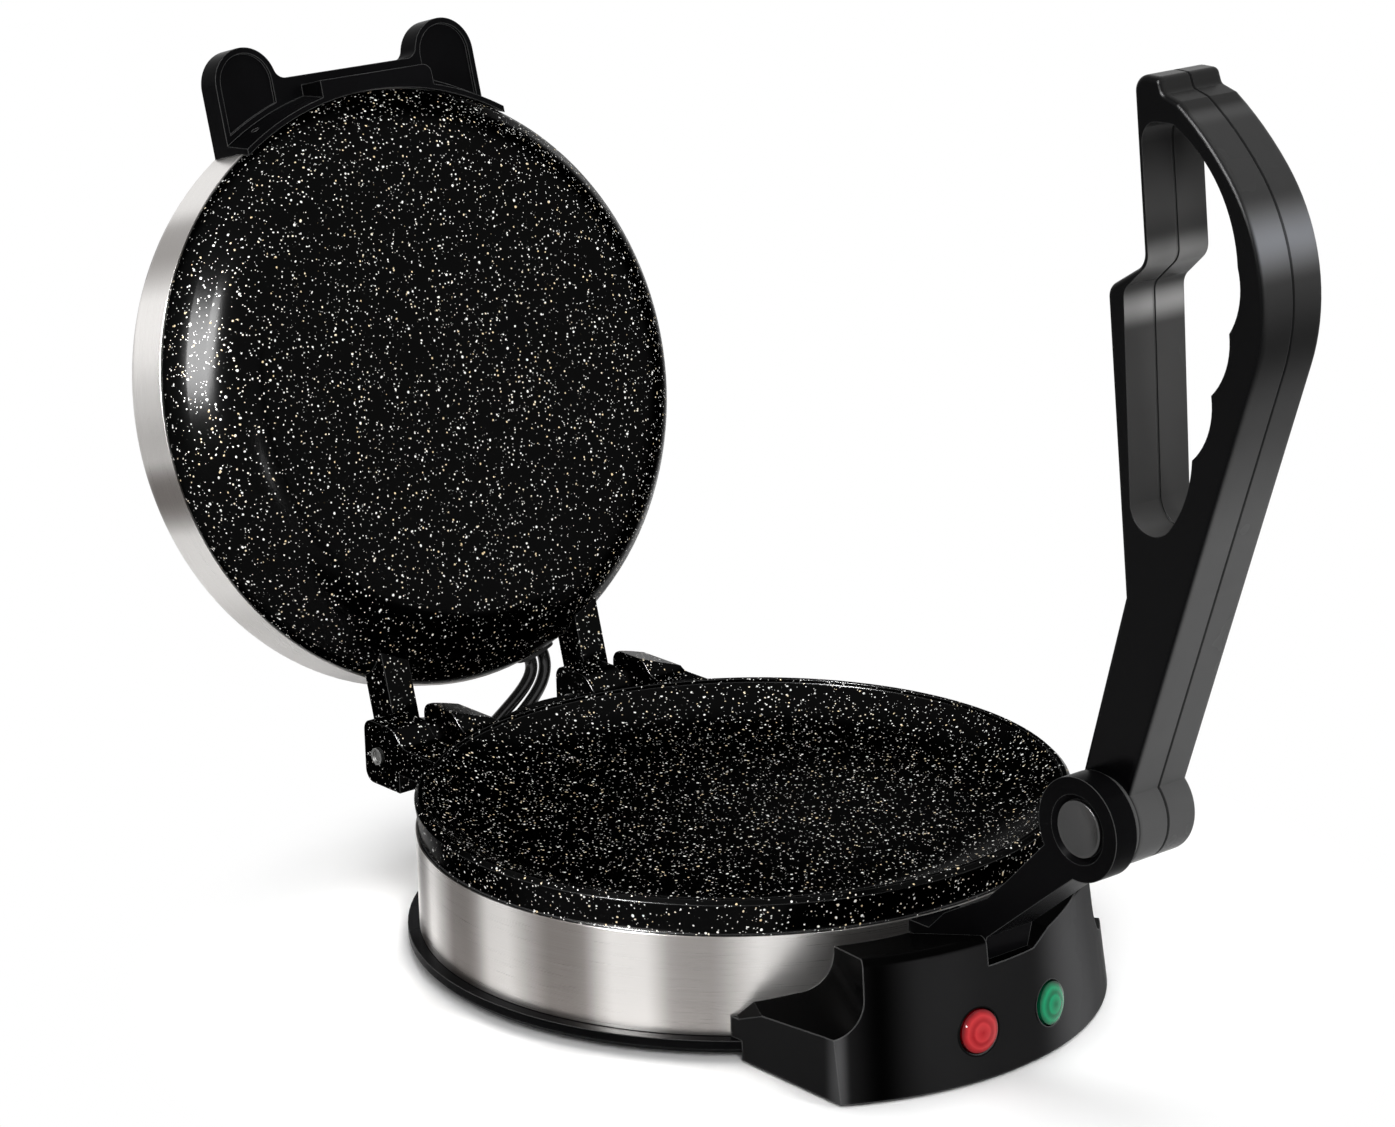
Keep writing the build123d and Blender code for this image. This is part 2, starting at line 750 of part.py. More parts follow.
# ---------------------------------------------------------------- lid cover
# A drawn sheet cup with a rounded top edge, screwed down on the plate's posts.
with BuildPart() as lid_cover:
    with BuildSketch(lid_xz):
        with BuildLine():
            outer_cup = FilletPolyline(
                (0, cover_top),
                (cover_radius, cover_top),
                (cover_radius, cover_bottom),
                radius=cover_corner,
            )
            inner_cup = FilletPolyline(
                (0, cover_top - band_sheet),
                (cover_inner, cover_top - band_sheet),
                (cover_inner, cover_bottom),
                radius=cover_corner - band_sheet,
            )
            Line(outer_cup @ 0, inner_cup @ 0)
            Line(outer_cup @ 1, inner_cup @ 1)
        make_face()
    revolve(axis=lid_axis)
    with BuildSketch(lid_xy.offset(cover_top)):
        with PolarLocations(post_circle, len(post_angles), start_angle=post_angles[0]):
            Circle(screw_radius + seat_gap)
    extrude(amount=-cover_corner, mode=Mode.SUBTRACT)
    with BuildSketch(lid_entry):
        SlotOverall(grommet_long + 2 * running_gap, grommet_high + 2 * running_gap)
    extrude(amount=grommet_high, both=True, mode=Mode.SUBTRACT)
    for angle in bracket_screw_angles:
        with BuildSketch(radial_plane(lid_xy, angle, cover_radius, bracket_screw_z)):
            Circle(screw_radius + seat_gap)
        extrude(amount=cover_corner, both=True, mode=Mode.SUBTRACT)
save(lid_cover.part, "lid_cover")

save(grommet(lid_entry), "lid_grommet")

# ---------------------------------------------------------------- heating parts of the lid
save(ring_heater(lid_xy, lid_inside + heater_tube, 1), "upper_heater")
save(sheet_shield(lid_xy.offset(lid_shield_z), lid_post_neck + seat_gap), "upper_heat_shield")
upper_seat = Plane(origin=lid_spot(thermostat_spot, 0, lid_inside), x_dir=(1, 0, 0), z_dir=lid_up)
save(disc_thermostat(upper_seat), "upper_thermostat")

with BuildPart() as cover_screws:
    for angle in post_angles:
        turn = radians(angle)
        spot = lid_spot(post_circle * cos(turn), post_circle * sin(turn), cover_top)
        add(screw(Plane(origin=spot, x_dir=(1, 0, 0), z_dir=lid_up), lid_hole_depth - head_height))
save(cover_screws.part, "cover_screws")

# ---------------------------------------------------------------- lid bracket
# A moulded front bracket: a curved plate over the cover's wall with a lip at the rim, a bar with
# a raised front and a channel behind it, and two ears with recessed faces.
bracket_plate = 3.7
lip_plate = 1.3
lip_gap = 1.0
lip_z = 72.0
ear_face_z = 86.0
ear_back_z = 97.0
ear_x = 49.0
ear_radius = 14.5
ear_centre_y = -132.5
ear_root_fillet = 5.0
recess_edge = 2.4
recess_depth = 1.4
front_left = -23.5
front_right = 31.0
front_y = -128.5
front_corner = 4.0
channel_left = -13.0
channel_right = 26.0
channel_width = 3.6
channel_depth = 5.0
bracket_hole = 4.0
bracket_screw_length = 8.0
plate_inner = cover_radius + seat_gap
spigot_inner = inner_end.X


def ear_outline(side, inset):
    """One ear seen from the lid's face: a straight root with a round tip."""
    with Locations((side * ear_x, ear_centre_y)):
        Circle(ear_radius - inset)
        Rectangle(2 * (ear_radius - inset), -ear_centre_y, align=(Align.CENTER, Align.MIN))


with BuildPart() as lid_bracket:
    with BuildSketch(lid_xz):
        with BuildLine():
            Polyline(
                (plate_inner, ear_back_z),
                (plate_inner + bracket_plate, ear_back_z),
                (plate_inner + bracket_plate, ear_face_z),
                (plate_inner + lip_plate, lip_z),
                (plate_inner - lip_gap, lip_z),
                (plate_inner, cover_bottom - lip_gap),
                close=True,
            )
        make_face()
    revolve(axis=lid_axis)
    with BuildSketch(lid_xy.offset(lip_z)):
        with Locations((0, -cover_radius)):
            Rectangle(2 * (ear_x + ear_radius), cover_radius - ear_x - ear_radius)
    extrude(amount=ear_back_z - lip_z, mode=Mode.INTERSECT)
    with BuildSketch(lid_xy.offset(ear_face_z)) as ears:
        ear_outline(-1, 0)
        ear_outline(1, 0)
        with Locations((0, ear_centre_y)):
            Rectangle(2 * ear_x, ear_radius, align=(Align.CENTER, Align.MIN))
        Circle(plate_inner, mode=Mode.SUBTRACT)
        corners = ears.vertices().filter_by_position(Axis.X, ear_radius - ear_x, ear_x - ear_radius)
        fillet(corners.group_by(Axis.Y)[0], ear_root_fillet)
    extrude(amount=ear_back_z - ear_face_z)
    with BuildSketch(lid_xy.offset(lip_z)) as front:
        with Locations((front_left, front_y)):
            Rectangle(front_right - front_left, ear_radius, align=(Align.MIN, Align.MIN))
        fillet(front.vertices().group_by(Axis.Y)[0].sort_by(Axis.X)[-1], front_corner)
        Circle(plate_inner, mode=Mode.SUBTRACT)
    extrude(amount=ear_face_z - lip_z)
    with BuildSketch(lid_xy.offset(ear_face_z)):
        ear_outline(-1, recess_edge)
        ear_outline(1, recess_edge)
        Circle(plate_inner + bracket_plate + recess_edge, mode=Mode.SUBTRACT)
        with Locations((front_left, front_y)):
            Rectangle(front_right - front_left, ear_radius, align=(Align.MIN, Align.MIN), mode=Mode.SUBTRACT)
    extrude(amount=recess_depth, mode=Mode.SUBTRACT)
    with BuildSketch(lid_xz.offset(-front_y)):
        with Locations((channel_left, ear_face_z)):
            Rectangle(channel_right - channel_left, channel_width, align=(Align.MIN, Align.MAX))
    extrude(amount=-channel_depth, mode=Mode.SUBTRACT)
    for angle in bracket_screw_angles:
        with BuildSketch(radial_plane(lid_xy, angle, plate_inner - lip_gap, bracket_screw_z)):
            Circle(screw_radius + running_gap)
        extrude(amount=bracket_hole, mode=Mode.SUBTRACT)
save(lid_bracket.part, "lid_bracket")

with BuildPart() as bracket_screws:
    for angle in bracket_screw_angles:
        seat = radial_plane(lid_xy, angle, spigot_inner - running_gap, bracket_screw_z)
        add(screw(Plane(origin=seat.origin, x_dir=seat.x_dir, z_dir=-seat.z_dir), bracket_screw_length))
save(bracket_screws.part, "bracket_screws")

# ---------------------------------------------------------------- front housing
# A hollow moulding between the band and a conical front. Its roof falls towards the band,
# its two ends sweep down like a bell, and a notch with a ramp takes the press arm.
near_radius = 55.0
wing_right = 83.0
housing_reach = 176.0
tray_gap = 0.3
bell_straight = 38.0
bell_radius = 13.5
bell_shelf_z = 24.0
shelf_length = 15.5
shelf_drop = 2.6
wing_drop = 5.1
wing_run = 6.0
wing_foot_z = 13.0
ramp_bend_x = 5.0
ramp_bend_z = 45.5
ramp_end_x = 40.0
ramp_end_z = 52.3
post_offset = 26.0
post_y = -rim_radius - 11.5
housing_post_radius = 4.0
housing_post_top = 43.4
boss_length = 8.0
above = 70.0
housing_frame = Plane(origin=(face_x, face_y, 0), x_dir=(1, 0, 0), z_dir=(0, 0, 1))
housing_section = Plane(origin=(face_x, face_y, 0), x_dir=(1, 0, 0), z_dir=(0, -1, 0))
roof_radius = face_radius - face_draft * housing_top


def housing_body(inset, floor):
    """The housing as a solid, every wall moved inward by the inset, cut off at the floor."""
    roof = housing_top - inset
    with BuildPart() as body:
        with BuildSketch(housing_section) as outline:
            with BuildLine():
                Polyline(
                    (near_radius, floor),
                    (face_radius - face_draft * floor - inset, floor),
                    (roof_radius - inset, roof),
                    (near_radius, roof - top_fall * (roof_radius - near_radius)),
                    close=True,
                )
            make_face()
            fillet(outline.vertices().group_by(Axis.Y)[-1], top_edge)
        revolve(axis=Axis(housing_frame.origin, housing_frame.z_dir))
        with BuildSketch(Plane.XY.offset(floor)):
            with Locations((0, face_y)):
                Rectangle(2 * (wing_x - inset), housing_reach, align=(Align.CENTER, Align.MAX))
        extrude(amount=above, mode=Mode.INTERSECT)
        with BuildSketch(Plane.XY.offset(floor)):
            with Locations((wing_right, face_y)):
                Rectangle(wing_x, housing_reach, align=(Align.MIN, Align.MAX))
        extrude(amount=above, mode=Mode.SUBTRACT)
        with BuildSketch(Plane.XZ):
            with BuildLine():
                Polyline(
                    (0, 0),
                    (tray_radius + tray_gap + inset, 0),
                    (tray_radius + tray_gap + inset, band_bottom + inset),
                    (rim_radius + tray_gap + inset, band_bottom + inset),
                    (rim_radius + tray_gap + inset, above),
                    (0, above),
                    close=True,
                )
            make_face()
        revolve(axis=Axis.Z, mode=Mode.SUBTRACT)
        for side, angle in ((-1, left_wall_angle), (1, right_wall_angle)):
            turn = radians(angle)
            along = (-side * cos(turn), -sin(turn), 0)
            outward = (side * sin(turn), -cos(turn), 0)
            corner = (face_x + roof_radius * outward[0], face_y + roof_radius * outward[1], -inset)
            bell = Plane(origin=corner, x_dir=along, z_dir=tuple(-side * v for v in outward))
            with BuildSketch(bell):
                with BuildLine():
                    wall_foot = (inset, bell_straight)
                    shelf = (inset - bell_radius, bell_shelf_z)
                    TangentArc(wall_foot, shelf, tangent=(0, -1))
                    Polyline(
                        shelf,
                        (shelf[0] - shelf_length, shelf[1] - shelf_drop),
                        (shelf[0] - shelf_length - wing_run, shelf[1] - shelf_drop - wing_drop),
                        (shelf[0] - housing_reach, wing_foot_z),
                        (shelf[0] - housing_reach, above),
                        (inset, above),
                        wall_foot,
                    )
                make_face()
            extrude(amount=near_radius, both=True, mode=Mode.SUBTRACT)
        with BuildSketch(Plane.XZ.offset(-face_y)):
            with Locations((-inset, -inset)):
                Polygon(
                    (notch_left, above),
                    (notch_left, notch_floor),
                    (arm_right_x + 2 * seat_gap, notch_floor),
                    (ramp_bend_x, ramp_bend_z),
                    (ramp_end_x, ramp_end_z),
                    (ramp_end_x, above),
                    align=None,
                )
        extrude(amount=housing_reach, mode=Mode.SUBTRACT)
    return body.part


lamp_angles = (-6.2, 12.4)
lamp_heights = (19.1, 18.5)


def lamp_plane(angle, height):
    """A plane on the housing's conical front that looks outward."""
    seat = radial_plane(housing_frame, angle - 90, face_radius - face_draft * height, height)
    return Plane(
        origin=seat.origin,
        x_dir=seat.x_dir,
        z_dir=seat.z_dir * cos(radians(face_slant)) + Vector(0, 0, 1) * sin(radians(face_slant)),
    )


lamp_planes = [lamp_plane(angle, height) for angle, height in zip(lamp_angles, lamp_heights)]
outer_housing = housing_body(0, housing_bottom)
inner_housing = housing_body(housing_wall, 0)
floor_housing = housing_body(housing_wall + seat_gap, tray_bottom)

with BuildPart() as front_housing:
    add(outer_housing)
    add(inner_housing, mode=Mode.SUBTRACT)
    with BuildSketch(Plane.XY.offset(tray_floor_top + seat_gap)):
        with Locations((face_x, post_y)):
            with GridLocations(2 * post_offset, 0, 2, 1):
                Circle(housing_post_radius)
    extrude(amount=housing_post_top - tray_floor_top - seat_gap)
    with BuildSketch(Plane.XY.offset(tray_floor_top)):
        with Locations((face_x, post_y)):
            with GridLocations(2 * post_offset, 0, 2, 1):
                Circle(screw_radius + running_gap)
    extrude(amount=boss_hole_top / 2, mode=Mode.SUBTRACT)
    for angle in housing_screw_angles:
        back_wall = radial_plane(Plane.XY, angle, rim_radius + tray_gap, housing_screw_z)
        with BuildSketch(back_wall.offset(housing_wall / 2)):
            Circle(housing_post_radius)
        extrude(amount=boss_length)
        with BuildSketch(back_wall.offset(-tray_gap)):
            Circle(screw_radius + running_gap)
        extrude(amount=boss_length, mode=Mode.SUBTRACT)
    with BuildSketch(Plane.XY.offset(notch_floor)):
        with Locations(((tongue_left_x + tongue_right_x) / 2, (tongue_front_y + tongue_back_y) / 2)):
            Rectangle(
                tongue_right_x - tongue_left_x + 2 * seat_gap,
                tongue_back_y - tongue_front_y + 2 * seat_gap,
            )
    extrude(amount=2 * housing_wall, both=True, mode=Mode.SUBTRACT)
    for seat in lamp_planes:
        with BuildSketch(seat):
            Circle(lamp_hole)
        extrude(amount=2 * housing_wall, both=True, mode=Mode.SUBTRACT)
save(front_housing.part, "front_housing")

with BuildPart() as band_screws:
    for angle in housing_screw_angles:
        seat = radial_plane(Plane.XY, angle, band_inner - running_gap, housing_screw_z)
        add(screw(Plane(origin=seat.origin, x_dir=seat.x_dir, z_dir=-seat.z_dir), boss_length))
save(band_screws.part, "band_screws")

# ---------------------------------------------------------------- housing base plate
# A flat plate inside the housing's walls, level with the tray, with its own screws.
tongue_screw_y = (tongue_front_y + tongue_back_y) / 2
tongue_screw_offset = 4.5
tongue_x = (tongue_left_x + tongue_right_x) / 2

with BuildPart() as housing_base_plate:
    add(floor_housing)
    with BuildSketch(Plane.XY.offset(tray_floor_top)):
        Rectangle(4 * rim_radius, 4 * rim_radius)
    extrude(amount=above, mode=Mode.SUBTRACT)
    with BuildSketch(Plane.XY):
        with Locations((face_x, post_y)):
            with GridLocations(2 * post_offset, 0, 2, 1):
                Circle(screw_radius + running_gap)
        with Locations((tongue_x, tongue_screw_y)):
            with GridLocations(0, 2 * tongue_screw_offset, 1, 2):
                Circle(screw_radius + running_gap)
    extrude(amount=above, mode=Mode.SUBTRACT)
save(housing_base_plate.part, "housing_base_plate")

with BuildPart() as housing_screws:
    for shift in (-post_offset, post_offset):
        spot = (face_x + shift, post_y, tray_bottom)
        add(screw(Plane(origin=spot, x_dir=(1, 0, 0), z_dir=(0, 0, -1)), 2 * boss_length))
save(housing_screws.part, "housing_screws")

with BuildPart() as arm_screws:
    for shift in (-tongue_screw_offset, tongue_screw_offset):
        spot = (tongue_x, tongue_screw_y + shift, tray_bottom)
        add(screw(Plane(origin=spot, x_dir=(1, 0, 0), z_dir=(0, 0, -1)), 2 * boss_length))
save(arm_screws.part, "arm_screws")

# ---------------------------------------------------------------- pilot lamps
# Domed lenses with a flange behind the wall, each in a round holder.
lens_radius = 7.8
lens_edge = 0.6
lens_crown = 2.4
lens_flange = 9.8
flange_front = 3.2
flange_back = 4.6
holder_back = 10.0
holder_bore = 6.0


def lamp_lens(seat):
    """A domed lens turned about the seat's axis."""
    side_view = Plane(origin=seat.origin, x_dir=seat.x_dir, z_dir=-seat.y_dir)
    with BuildPart() as body:
        with BuildSketch(side_view):
            with BuildLine():
                Polyline(
                    (0, lens_crown),
                    (0, -flange_back),
                    (lens_flange, -flange_back),
                    (lens_flange, -flange_front),
                    (lens_radius, -flange_front),
                    (lens_radius, lens_edge),
                )
                TangentArc((0, lens_crown), (lens_radius, lens_edge), tangent=(1, 0))
            make_face()
        revolve(axis=Axis(seat.origin, seat.z_dir))
    return body.part


save(lamp_lens(lamp_planes[0]), "lamp_lens_red")
save(lamp_lens(lamp_planes[1]), "lamp_lens_green")

with BuildPart() as lamp_holders:
    for seat in lamp_planes:
        with BuildSketch(seat.offset(-flange_back - running_gap)):
            Circle(lens_flange)
            Circle(holder_bore, mode=Mode.SUBTRACT)
        extrude(amount=flange_back - holder_back)
        with BuildSketch(seat.offset(-holder_back)):
            Circle(lens_flange)
        extrude(amount=-housing_wall)
save(lamp_holders.part, "lamp_holders")

# ---------------------------------------------------------------- press arm
# A fixed arm: a beam that climbs from the housing's notch to a round eye, and a tongue that
# goes down through the roof to the base plate.
arm_seat_z = notch_floor + seat_gap
nub_run_back = 4.0
nub_back_y = nub_run_back - rim_radius
nub_top_z = 46.0
nub_run = 8.0
step_run = 16.0
step_z = 53.8
shoulder_run = 38.0
shoulder_top_z = 65.7
throat_run = 48.0
throat_z = 75.0
eye_top_run = 15.3
eye_top_drop = 9.1
eye_foot_run = 1.4
eye_foot_drop = 17.8
belly_run = 19.6
belly_z = 70.7
heel_top_run = 37.8
heel_top_z = 50.9
heel_run = 35.5
hub_clearance = 3.2
recess_radius = 12.4
recess_floor = 2.2
cap_radius = 10.0
cap_height = 1.6
cap_rim = 0.8
cap_dish = 1.0

with BuildPart() as press_arm:
    with BuildSketch(Plane.YZ.offset(arm_left_x)) as beam:
        Polygon(
            (nub_back_y, arm_seat_z),
            (nub_back_y, nub_top_z),
            (-rim_radius - nub_run, nub_top_z),
            (-rim_radius - step_run, step_z),
            (-rim_radius - shoulder_run, shoulder_top_z),
            (-rim_radius - throat_run, throat_z),
            (pivot_y + eye_top_run, pivot_z - eye_top_drop),
            (pivot_y, pivot_z),
            (pivot_y + eye_foot_run, pivot_z - eye_foot_drop),
            (pivot_y + belly_run, belly_z),
            (-rim_radius - heel_top_run, heel_top_z),
            (-rim_radius - heel_run, arm_seat_z),
            align=None,
        )
    extrude(amount=arm_right_x - arm_left_x)
    with BuildSketch(Plane.YZ.offset(eye_right_x)):
        with Locations((pivot_y, pivot_z)):
            Circle(hub_radius + hub_clearance)
    extrude(amount=arm_right_x - eye_right_x, mode=Mode.SUBTRACT)
    with BuildSketch(Plane.YZ.offset(arm_left_x)):
        with Locations((pivot_y, pivot_z)):
            Circle(eye_radius)
    extrude(amount=eye_right_x - arm_left_x)
    with BuildSketch(Plane.YZ.offset(arm_left_x)):
        with Locations((pivot_y, pivot_z)):
            Circle(recess_radius)
    extrude(amount=recess_floor, taper=45, mode=Mode.SUBTRACT)
    with BuildSketch(Plane.YZ.offset(arm_left_x)):
        with Locations((pivot_y, pivot_z)):
            Circle(pivot_radius + running_gap)
    extrude(amount=eye_right_x - arm_left_x, mode=Mode.SUBTRACT)
    with BuildSketch(Plane.XY.offset(tray_floor_top)):
        with Locations(((tongue_left_x + tongue_right_x) / 2, (tongue_front_y + tongue_back_y) / 2)):
            Rectangle(tongue_right_x - tongue_left_x, tongue_back_y - tongue_front_y)
    extrude(amount=arm_seat_z - tray_floor_top + housing_wall)
    with BuildSketch(Plane.XY.offset(notch_floor)):
        Circle(rim_radius + tray_gap)
    extrude(amount=nub_top_z, mode=Mode.SUBTRACT)
    with BuildSketch(Plane.XY.offset(tray_floor_top)):
        with Locations((tongue_x, tongue_screw_y)):
            with GridLocations(0, 2 * tongue_screw_offset, 1, 2):
                Circle(screw_radius + running_gap)
    extrude(amount=2 * boss_length, mode=Mode.SUBTRACT)
save(press_arm.part, "press_arm")

# ---------------------------------------------------------------- pivot
# A pin through the eye and the handle's bush, a dished cap over its left end, and a washer
# with a nut on the right.
washer_radius = 8.5
washer = 1.2
nut_radius = 8.0
nut_height = 4.0
nut_stand = 2.0
pin_end_x = handle_half + washer + nut_height + nut_stand
dish_ball = ((cap_radius - cap_rim) ** 2 + cap_dish**2) / (2 * cap_dish)

with BuildPart() as pivot_pin:
    with BuildSketch(Plane.YZ.offset(arm_left_x + recess_floor)):
        with Locations((pivot_y, pivot_z)):
            Circle(pivot_radius)
    extrude(amount=pin_end_x - arm_left_x - recess_floor)
    chamfer(pivot_pin.edges().group_by(Axis.X)[-1], pin_chamfer)
save(pivot_pin.part, "pivot_pin")

with BuildPart() as pivot_cap:
    with BuildSketch(Plane.YZ.offset(arm_left_x + recess_floor)):
        with Locations((pivot_y, pivot_z)):
            Circle(cap_radius)
    extrude(amount=-cap_height)
    dish_centre_x = arm_left_x + recess_floor - cap_height + cap_dish - dish_ball
    with Locations((dish_centre_x, pivot_y, pivot_z)):
        Sphere(dish_ball, mode=Mode.SUBTRACT)
save(pivot_cap.part, "pivot_cap")

with BuildPart() as pivot_nut:
    with BuildSketch(Plane.YZ.offset(handle_half + seat_gap)):
        with Locations((pivot_y, pivot_z)):
            Circle(washer_radius)
            Circle(pivot_radius + running_gap, mode=Mode.SUBTRACT)
    extrude(amount=washer)
    with BuildSketch(Plane.YZ.offset(handle_half + seat_gap + washer)):
        with Locations((pivot_y, pivot_z)):
            RegularPolygon(nut_radius, 6)
            Circle(pivot_radius + running_gap, mode=Mode.SUBTRACT)
    extrude(amount=nut_height)
save(pivot_nut.part, "pivot_nut")

# ---------------------------------------------------------------- press handle
# Two moulded halves with an open grip: a straight spine, a round back, a flat lid side, and
# an opening with finger scallops. The left half carries the hub.
grip_view = Plane(origin=(0, pivot_y, pivot_z), x_dir=(0, 1, 0), z_dir=(1, 0, 0))
spine_turn = radians(grip_lean)
spine_top = (grip_out - grip_radius * cos(spine_turn), grip_rise - grip_radius * sin(spine_turn))
spine_drop = 165.0
spine_foot = (spine_top[0] + spine_drop * sin(spine_turn), spine_top[1] - spine_drop * cos(spine_turn))
crown_turn = radians(40)
crown_end = (-30.5, 249.6)
head_foot = (-24.0, 251.6)
head_rise = (-22.2, 256.4)
head_corner = (-10.4, 256.6)
pad_step = (-16.0, 195.0)
press_pad = (0.6, 184.9)
waist = (-8.5, 81.0)
neck = (11.2, 13.5)
crest_fillet = 5.5
crest_foot_fillet = 2.2
step_fillet = 6.5
pad_fillet = 5.5
opening_head = (-28.5, 242.3)
opening_top = (-14.2, 242.0)
opening_step = (-18.3, 195.4)
opening_pad = (-7.2, 185.2)
opening_floor = (-11.0, 113.0)
opening_bottom = (-19.0, 105.0)
opening_heel = (-29.6, 109.5)
opening_corner = (-50.9, 221.0)
opening_crown = (-34.5, 238.6)
opening_fillet = 7.0
scallop_cusps = ((-38.5, 134.0), (-46.5, 157.0), (-53.9, 178.5), (-57.1, 200.5))
scallop_radius = 25.0
heel_radius = 42.0
seam_edge = 0.6
grip_edge = 2.0
handle_screw_spots = ((-11.0, 47.0), (-22.0, 95.0), (-62.8, 185.0))


def grip_line():
    """The handle's side view: spine, round back, raised head, and the stepped lid side."""
    Line(spine_foot, spine_top)
    crown = (grip_out - grip_radius * cos(crown_turn), grip_rise + grip_radius * sin(crown_turn))
    RadiusArc(spine_top, crown, grip_radius)
    TangentArc(crown, crown_end, tangent=(sin(crown_turn), cos(crown_turn)))
    corners = (head_foot, head_rise, head_corner, pad_step, press_pad)
    fillets = [crest_foot_fillet, crest_foot_fillet, crest_fillet, step_fillet, pad_fillet]
    lid_side = FilletPolyline(crown_end, *corners, waist, radius=fillets)
    Polyline(lid_side @ 1, neck, (0, 0), spine_foot)


def opening_line():
    """The finger opening, with scallops along the spine side."""
    corners = (opening_top, opening_step, opening_pad)
    fillets = [opening_fillet, step_fillet, pad_fillet]
    lid_side = FilletPolyline(opening_head, *corners, opening_floor, radius=fillets)
    floor_arc = ThreePointArc(lid_side @ 1, opening_bottom, opening_heel)
    RadiusArc(floor_arc @ 1, scallop_cusps[0], heel_radius)
    for start, end in zip(scallop_cusps, scallop_cusps[1:]):
        RadiusArc(start, end, scallop_radius)
    crown = ThreePointArc(scallop_cusps[-1], opening_corner, opening_crown)
    Line(crown @ 1, lid_side @ 0)


def handle_side(amount):
    """One half of the handle, from the seam plane outward, with its edges taken off."""
    with BuildPart() as body:
        with BuildSketch(grip_view):
            with BuildLine():
                grip_line()
            make_face()
            Circle(hub_radius)
        extrude(amount=amount)
        with BuildSketch(grip_view):
            with BuildLine():
                opening_line()
            make_face()
        extrude(amount=amount, mode=Mode.SUBTRACT)
        with BuildSketch(grip_view):
            with BuildLine():
                opening_line()
            make_face()
            offset(amount=seam_edge)
        extrude(amount=seam_edge * amount / handle_half, mode=Mode.SUBTRACT)
        sides = body.faces().filter_by(Axis.X).sort_by(Axis.X)
        if amount < 0:
            sides.reverse()
        chamfer(sides[0].outer_wire().edges(), seam_edge)
        sides = body.faces().filter_by(Axis.X).sort_by(Axis.X)
        if amount > 0:
            sides.reverse()
        fillet(sides[0].outer_wire().edges(), grip_edge)
    return body.part


left_half = handle_side(-handle_half)
right_half = handle_side(handle_half)

with BuildPart() as handle_left:
    add(left_half)
    with BuildSketch(grip_view.offset(hub_left_x)):
        Circle(hub_radius)
    extrude(amount=-hub_left_x - handle_half)
    with BuildSketch(grip_view.offset(hub_left_x)):
        Circle(bush_radius + running_gap)
    extrude(amount=-hub_left_x, mode=Mode.SUBTRACT)
    with BuildSketch(grip_view):
        with Locations(*handle_screw_spots):
            Circle(screw_radius + running_gap)
    extrude(amount=-boss_length, mode=Mode.SUBTRACT)
save(handle_left.part, "handle_left")

with BuildPart() as handle_right:
    add(right_half)
    with BuildSketch(grip_view):
        Circle(bush_radius + running_gap)
        with Locations(*handle_screw_spots):
            Circle(screw_radius + running_gap)
    extrude(amount=handle_half, mode=Mode.SUBTRACT)
    with BuildSketch(grip_view.offset(handle_half)):
        with Locations(*handle_screw_spots):
            Circle(head_radius + seat_gap)
    extrude(amount=-2 * head_height, mode=Mode.SUBTRACT)
save(handle_right.part, "handle_right")

with BuildPart() as handle_screws:
    for y, z in handle_screw_spots:
        spot = (handle_half - 2 * head_height, pivot_y + y, pivot_z + z)
        add(screw(Plane(origin=spot, x_dir=(0, 1, 0), z_dir=(1, 0, 0)), handle_half + 1))
save(handle_screws.part, "handle_screws")

with BuildPart() as hub_bush:
    with BuildSketch(grip_view.offset(hub_left_x)):
        Circle(bush_radius)
        Circle(pivot_radius + running_gap, mode=Mode.SUBTRACT)
    extrude(amount=handle_half - hub_left_x)
save(hub_bush.part, "hub_bush")

# ---------------------------------------------------------------- leads
# Two leads from the base's back wall to the lid, held by both grommets. Each leaves the band
# level, sweeps up behind the rim between the hinges and turns up into the cover, one above
# the other so that they stay apart.
lead_inside = 14.0
lead_straight = 2.5
lead_sweep = 45.0
lead_drop = 24.0
lead_inner_end = 6.0


def lead(shift):
    """One lead, shifted sideways from the middle of the pair."""
    outlet = lead_exit.origin + lead_exit.x_dir * shift
    inlet = lid_entry.origin + lid_entry.x_dir * shift
    route_start = outlet + lead_exit.z_dir * lead_straight
    route_end = inlet + lid_entry.z_dir * lead_straight
    with BuildPart() as body:
        with BuildLine() as route:
            Line(outlet - lead_exit.z_dir * lead_inside, route_start)
            Bezier(
                route_start,
                outlet + lead_exit.z_dir * (lead_sweep + shift),
                inlet + lid_entry.z_dir * (lead_drop - shift),
                route_end,
            )
            Line(route_end, inlet - lid_entry.z_dir * lead_inner_end)
        with BuildSketch(lead_exit.offset(-lead_inside)):
            with Locations((shift, 0)):
                Circle(lead_radius)
        sweep(path=route.wires()[0])
    return body.part


save(lead(lead_spacing / 2), "lead_left")
save(lead(-lead_spacing / 2), "lead_right")
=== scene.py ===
import bpy
import numpy as np
from mathutils import Matrix, Vector


